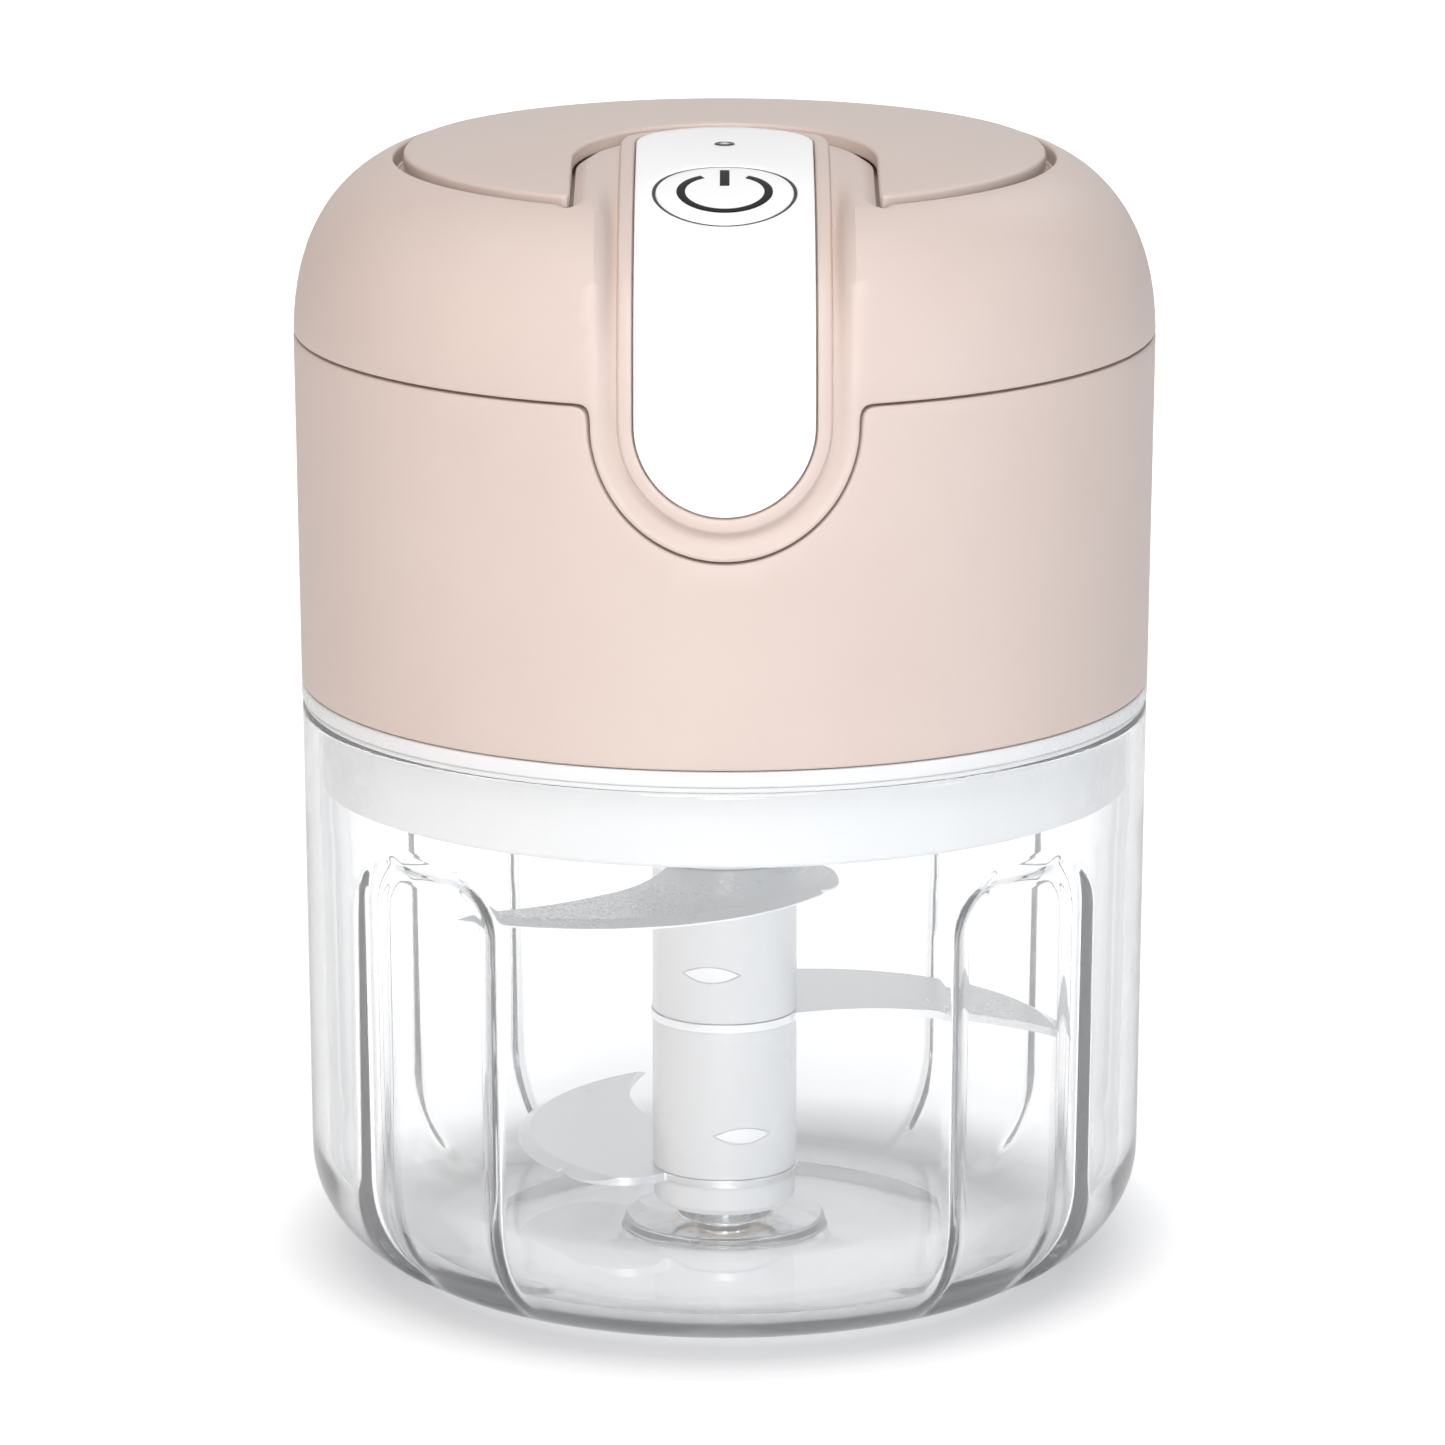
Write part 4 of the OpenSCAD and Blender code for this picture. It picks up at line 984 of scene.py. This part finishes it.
HUB_R, CORE_BORE, BLADE_Z, BLADE_PITCH, BLADE_T = 7.0, 5.45, 8.5, 15.6, 0.8
WINDOW_R, WINDOW_HALF, WINDOW_D, WINDOWS = 5.66, 0.8, 0.45, ((13.7, 15), (29.8, -11.5))
BLADE_BEARING = -166.4
GAP = 0.02  # between a sleeve and the blades above and below it


def make_hub():
    """The white sleeves between the blades, two of them with a lens-shaped window that holds a painted
    highlight, and the foot below.
    """
    off_centre = WINDOW_R - WINDOW_HALF

    def sleeve(name, node, z0, z1, window=None):
        low, high = z0 + GAP, z1 - GAP
        foot = [(CORE_BORE, low, 0.05), (HUB_R, low, 0.14)]
        head = [(HUB_R, high, 0.14 if window else 0.4), (CORE_BORE, high, 0.05)]
        if window:
            wz, wa = window
            rows = contour([(CORE_BORE, low + 0.3)] + foot + [(HUB_R, wz - 1.3)], 4)
            rows += [(HUB_R, z) for z in np.linspace(wz - 1.1, wz + 1.1, 34)]
            rows += contour([(HUB_R, wz + 1.3)] + head + [(CORE_BORE, high - 0.3)], 4)
            centre = math.radians(wa)

            def shift(bearing, r, z):
                x = HUB_R * np.sin(bearing - centre)
                a = np.hypot(x, z - wz - off_centre) - WINDOW_R
                b = np.hypot(x, z - wz + off_centre) - WINDOW_R
                away = np.maximum(a, b)
                deep = WINDOW_D * np.interp(away, [-0.12, -0.04, 0.04], [1, 0.5, 0])
                return np.where((np.cos(bearing - centre) > 0) & (r > HUB_R - 0.01), deep, 0)

            fine = np.arange(wa - 28, wa + 28, 0.8)
            coarse = np.arange(wa + 28, wa + 332, 2.5)
            solid = turned(rows, np.concatenate((fine, coarse)), shift, ring=True)
        else:
            middle = (z0 + z1) / 2
            rows = contour([(CORE_BORE, middle)] + foot + head + [(CORE_BORE, middle + 0.1)], 4)
            solid = turned(rows, EVEN, ring=True)
        piece(name, *solid, "blades", SLOT_OF[node], [node], weld=1e-4)

    z = [BLADE_Z + k * BLADE_PITCH for k in range(3)]
    sleeve("sleeve_lower", "hub_sleeve_lower", z[0] + BLADE_T, z[1], WINDOWS[0])
    sleeve("sleeve_upper", "hub_sleeve_upper", z[1] + BLADE_T, z[2], WINDOWS[1])
    sleeve("sleeve_cap", "hub_cap", z[2] + BLADE_T, 50.6)
    reach = WINDOW_R - 0.07
    corner = math.degrees(math.asin(off_centre / reach))
    lens = resample(np.vstack((arc(0, -off_centre, reach, corner, 180 - corner, 30),
                               arc(0, off_centre, reach, 180 + corner, 360 - corner, 30))), 0.25)
    # painted highlight: each window holds a lens of white gloss, whiter than the sleeve, that stands in for
    # the bright glint seen there
    for k, (wz, wa) in enumerate(WINDOWS):
        def place(az, depth):
            bearing, r = math.radians(wa) + az[:, 0] / HUB_R, HUB_R - 0.06 - depth
            return stack(r * np.sin(bearing), -r * np.cos(bearing), wz + az[:, 1])

        solid = shell([lens], place, 0.36, (), 0.5, 0.04)
        piece(("window_glint_low", "window_glint_high")[k], *solid, "blades", "white_gloss", [], weld=1e-4)
    top, foot_z = BLADE_Z - GAP, 5.6
    foot = contour([(CORE_BORE, 7.0), (CORE_BORE, foot_z, 0.05), (HUB_R - 0.75, foot_z, 0.15),
                    (HUB_R - 0.1, foot_z + 0.65, 0.3), (HUB_R - 0.1, top, 0.12), (CORE_BORE, top, 0.05),
                    (CORE_BORE, 7.1)], 4)
    solid = turned(foot, EVEN, ring=True)
    piece("sleeve_foot", *solid, "blades", SLOT_OF["hub_base"], ["hub_base"], weld=1e-4)


def traced(loops, keep):
    """The outlines of the area that keep() says is solid, out of crossing closed lines."""
    edges, total = [], 0
    for loop in loops:
        edges += [(total + i, total + (i + 1) % len(loop)) for i in range(len(loop))]
        total += len(loop)
    flat, _, triangles, _, _, _ = delaunay_2d_cdt([Vector(p) for p in np.vstack(loops)], edges, [], 0, 1e-6)
    flat = np.array([tuple(p) for p in flat])
    good = keep(np.array([flat[list(t)].mean(0) for t in triangles]))
    rim = set()
    for t, solid in zip(triangles, good):
        if solid:
            a, b, c = flat[t[0]], flat[t[1]], flat[t[2]]
            order = t if (b[0] - a[0]) * (c[1] - a[1]) - (b[1] - a[1]) * (c[0] - a[0]) > 0 else t[::-1]
            for i in range(3):
                edge = (order[i], order[(i + 1) % 3])
                if (edge[1], edge[0]) in rim:
                    rim.remove((edge[1], edge[0]))
                else:
                    rim.add(edge)
    after = dict(rim)
    outlines = []
    while after:
        first = min(after)
        chain, here = [], first
        while here in after:
            chain.append(here)
            here = after.pop(here)
        outlines.append(flat[chain])
    return sorted(outlines, key=len, reverse=True)


def make_blades():
    """Three equal crescents 120 degrees apart, each with a heel, ground on the outer edge."""
    back, back_r, hollow, hollow_r = np.array((11, -6.2)), 24.0, np.array((21, -18.9)), 23.1
    heel, heel_r, cut_x, ring_r, bevel = np.array((2.5, 9.6)), 6.1, 2.5, HUB_R + 0.15, 1.25

    def solid(p):
        crescent = (lengths(p - back) < back_r) & (lengths(p - hollow) > hollow_r)
        crescent &= (p[:, 0] > cut_x) & (p[:, 1] > -9)
        return (crescent | (lengths(p - heel) < heel_r) | (lengths(p) < ring_r)) & (lengths(p) > CORE_BORE)

    tall = np.array([(cut_x, -40.0), (60, -40), (60, -9), (60, 40), (cut_x, 40), (cut_x, -9)])
    lines = [circle(*back, back_r, 360), circle(*hollow, hollow_r, 360), circle(*heel, heel_r, 120),
             circle(0, 0, ring_r, 180), circle(0, 0, CORE_BORE, 140), tall]
    outline, hole = traced(lines, solid)[:2]
    tip = outline[np.argmax(outline[:, 0])]
    outline = soften(outline, [tip + (9, 9)], 0.3, 0.35)
    inner_edge = circle(*back, back_r - bevel, 300)
    inner_edge = inner_edge[inside(inner_edge, outline) & (distance_to(inner_edge, outline) > 0.35)]
    for tier, name in enumerate(("blade_lower", "blade_middle", "blade_upper")):
        a = math.radians(BLADE_BEARING - 120 * tier - 90)
        z = BLADE_Z + tier * BLADE_PITCH

        def place(xy, depth):
            near_edge = back_r - lengths(xy - back)
            ground = np.clip((bevel - near_edge) / bevel, 0, 1) * 0.62
            ground *= lengths(xy) > ring_r + 0.3
            top = z + BLADE_T - ground
            height = top - depth / BLADE_T * (top - z)
            x = xy[:, 0] * math.cos(a) - xy[:, 1] * math.sin(a)
            y = xy[:, 0] * math.sin(a) + xy[:, 1] * math.cos(a)
            return stack(x, y, height)

        ground_blade = shell([outline, hole], place, BLADE_T, [inner_edge], 1.0, 0.05, spare=0.5)
        piece(name + "_ground", *ground_blade, "blades", "stainless_steel", [name], sharp=14, weld=1e-4)


# ---- small trim


def make_indicator():
    """The indicator's lens with a black ring round it, and a black ring down in the gap round the button:
    both rings are painted shade, of the indicator's recess and of the gap.
    """
    def on_panel(points):
        p = np.asarray(points, float)
        return p + (0, -LED_Y, strap_height(LED_Y))

    # painted shade: the black ring round the indicator stands in for the shade down in its recess
    shade_profile = contour([(LED_R, -1.0), (LED_R, 0.03, 0.04), (LED_SHADE_R, 0.03, 0.06), (LED_SHADE_R, -1.0),
                     (0.7, -1.0)], 3)
    lens = contour([(0, -0.9), (0.49, -0.9), (0.49, 0.0, 0.1), (0, 0.1)], 4)
    ring = turned(shade_profile, EVEN[::4], ring=True)
    piece("indicator_shade_ring", on_panel(ring[0]), ring[1], "head", "black_plastic", [], weld=1e-4)
    dot = turned(lens, EVEN[::4])
    piece("indicator_lens", on_panel(dot[0]), dot[1], "head", "lens", ["led_lens"], weld=1e-4)
    # painted shade: a black ring lies down in the gap round the button, standing in for the shade there
    ring_lines = [circle(0, 0, BUTTON_R + 0.3, 96), circle(0, 0, BUTTON_R + 0.03, 96, clockwise=True)]
    gap = shell(ring_lines, lambda ab, depth: button_surface(ab, depth + 0.1), 0.6, (), 0.5, 0.02)
    piece("button_gap_shade", *gap, "head", "black_rubber", [])


def make_port_cover():
    """The charging inlet's lid: a curved plate with a nail notch, its tab, barrel and plug."""
    seat_y, hinge_y, hinge_z = 39.65, 39.85, 72.4

    def rounded(half_w, half_h, corner):
        line = contour([(-1, -half_h), (half_w, -half_h, corner), (half_w, half_h, corner),
                        (-half_w, half_h, corner), (-half_w, -half_h, corner), (-1.4, -half_h)], 6)
        return resample(np.array(line), 0.35)

    def curved(xz, share):
        x, up = xz[:, 0], xz[:, 1]
        front = np.sqrt((FOOT_R + 0.04) ** 2 - x ** 2)
        notch = 0.3 * smoothstep((-2.55 - up) / 0.5) * smoothstep((2.6 - np.abs(x)) / 0.7)
        return stack(x, (front - notch) * (1 - share) + seat_y * share, PORT_Z + up)

    def flat_at(y, z):
        return lambda xz, depth: stack(xz[:, 0], y - depth, z + xz[:, 1])

    plate = shell([rounded(6.4, 3.7, 0.9)], curved, 1.0, (), 0.45, 0.2)
    tab = shell([rounded(4.4, 0.62, 0.3)], flat_at(40.4, 71.55), 0.72, (), 0.8, 0.15)
    plug = shell([rounded(4.1, 1.2, 1.15)], flat_at(39.75, PORT_Z), 0.9, (), 0.8, 0.02)
    barrel = turned(contour([(0, -4.8), (0.75, -4.8, 0.15), (0.75, 4.8, 0.15), (0, 4.8)], 4), EVEN[::6])
    around = barrel[0][:, [2, 1, 0]] + (0, hinge_y, hinge_z)
    solid = joined(plate, tab, plug, (around, barrel[1]))
    piece("port_cover_lid", *solid, "port_cover", SLOT_OF["port_cover"], ["port_cover"], weld=1e-4)


make_port_cover()
make_bowl()
make_lower_cover()
make_hub()
make_blades()
make_indicator()
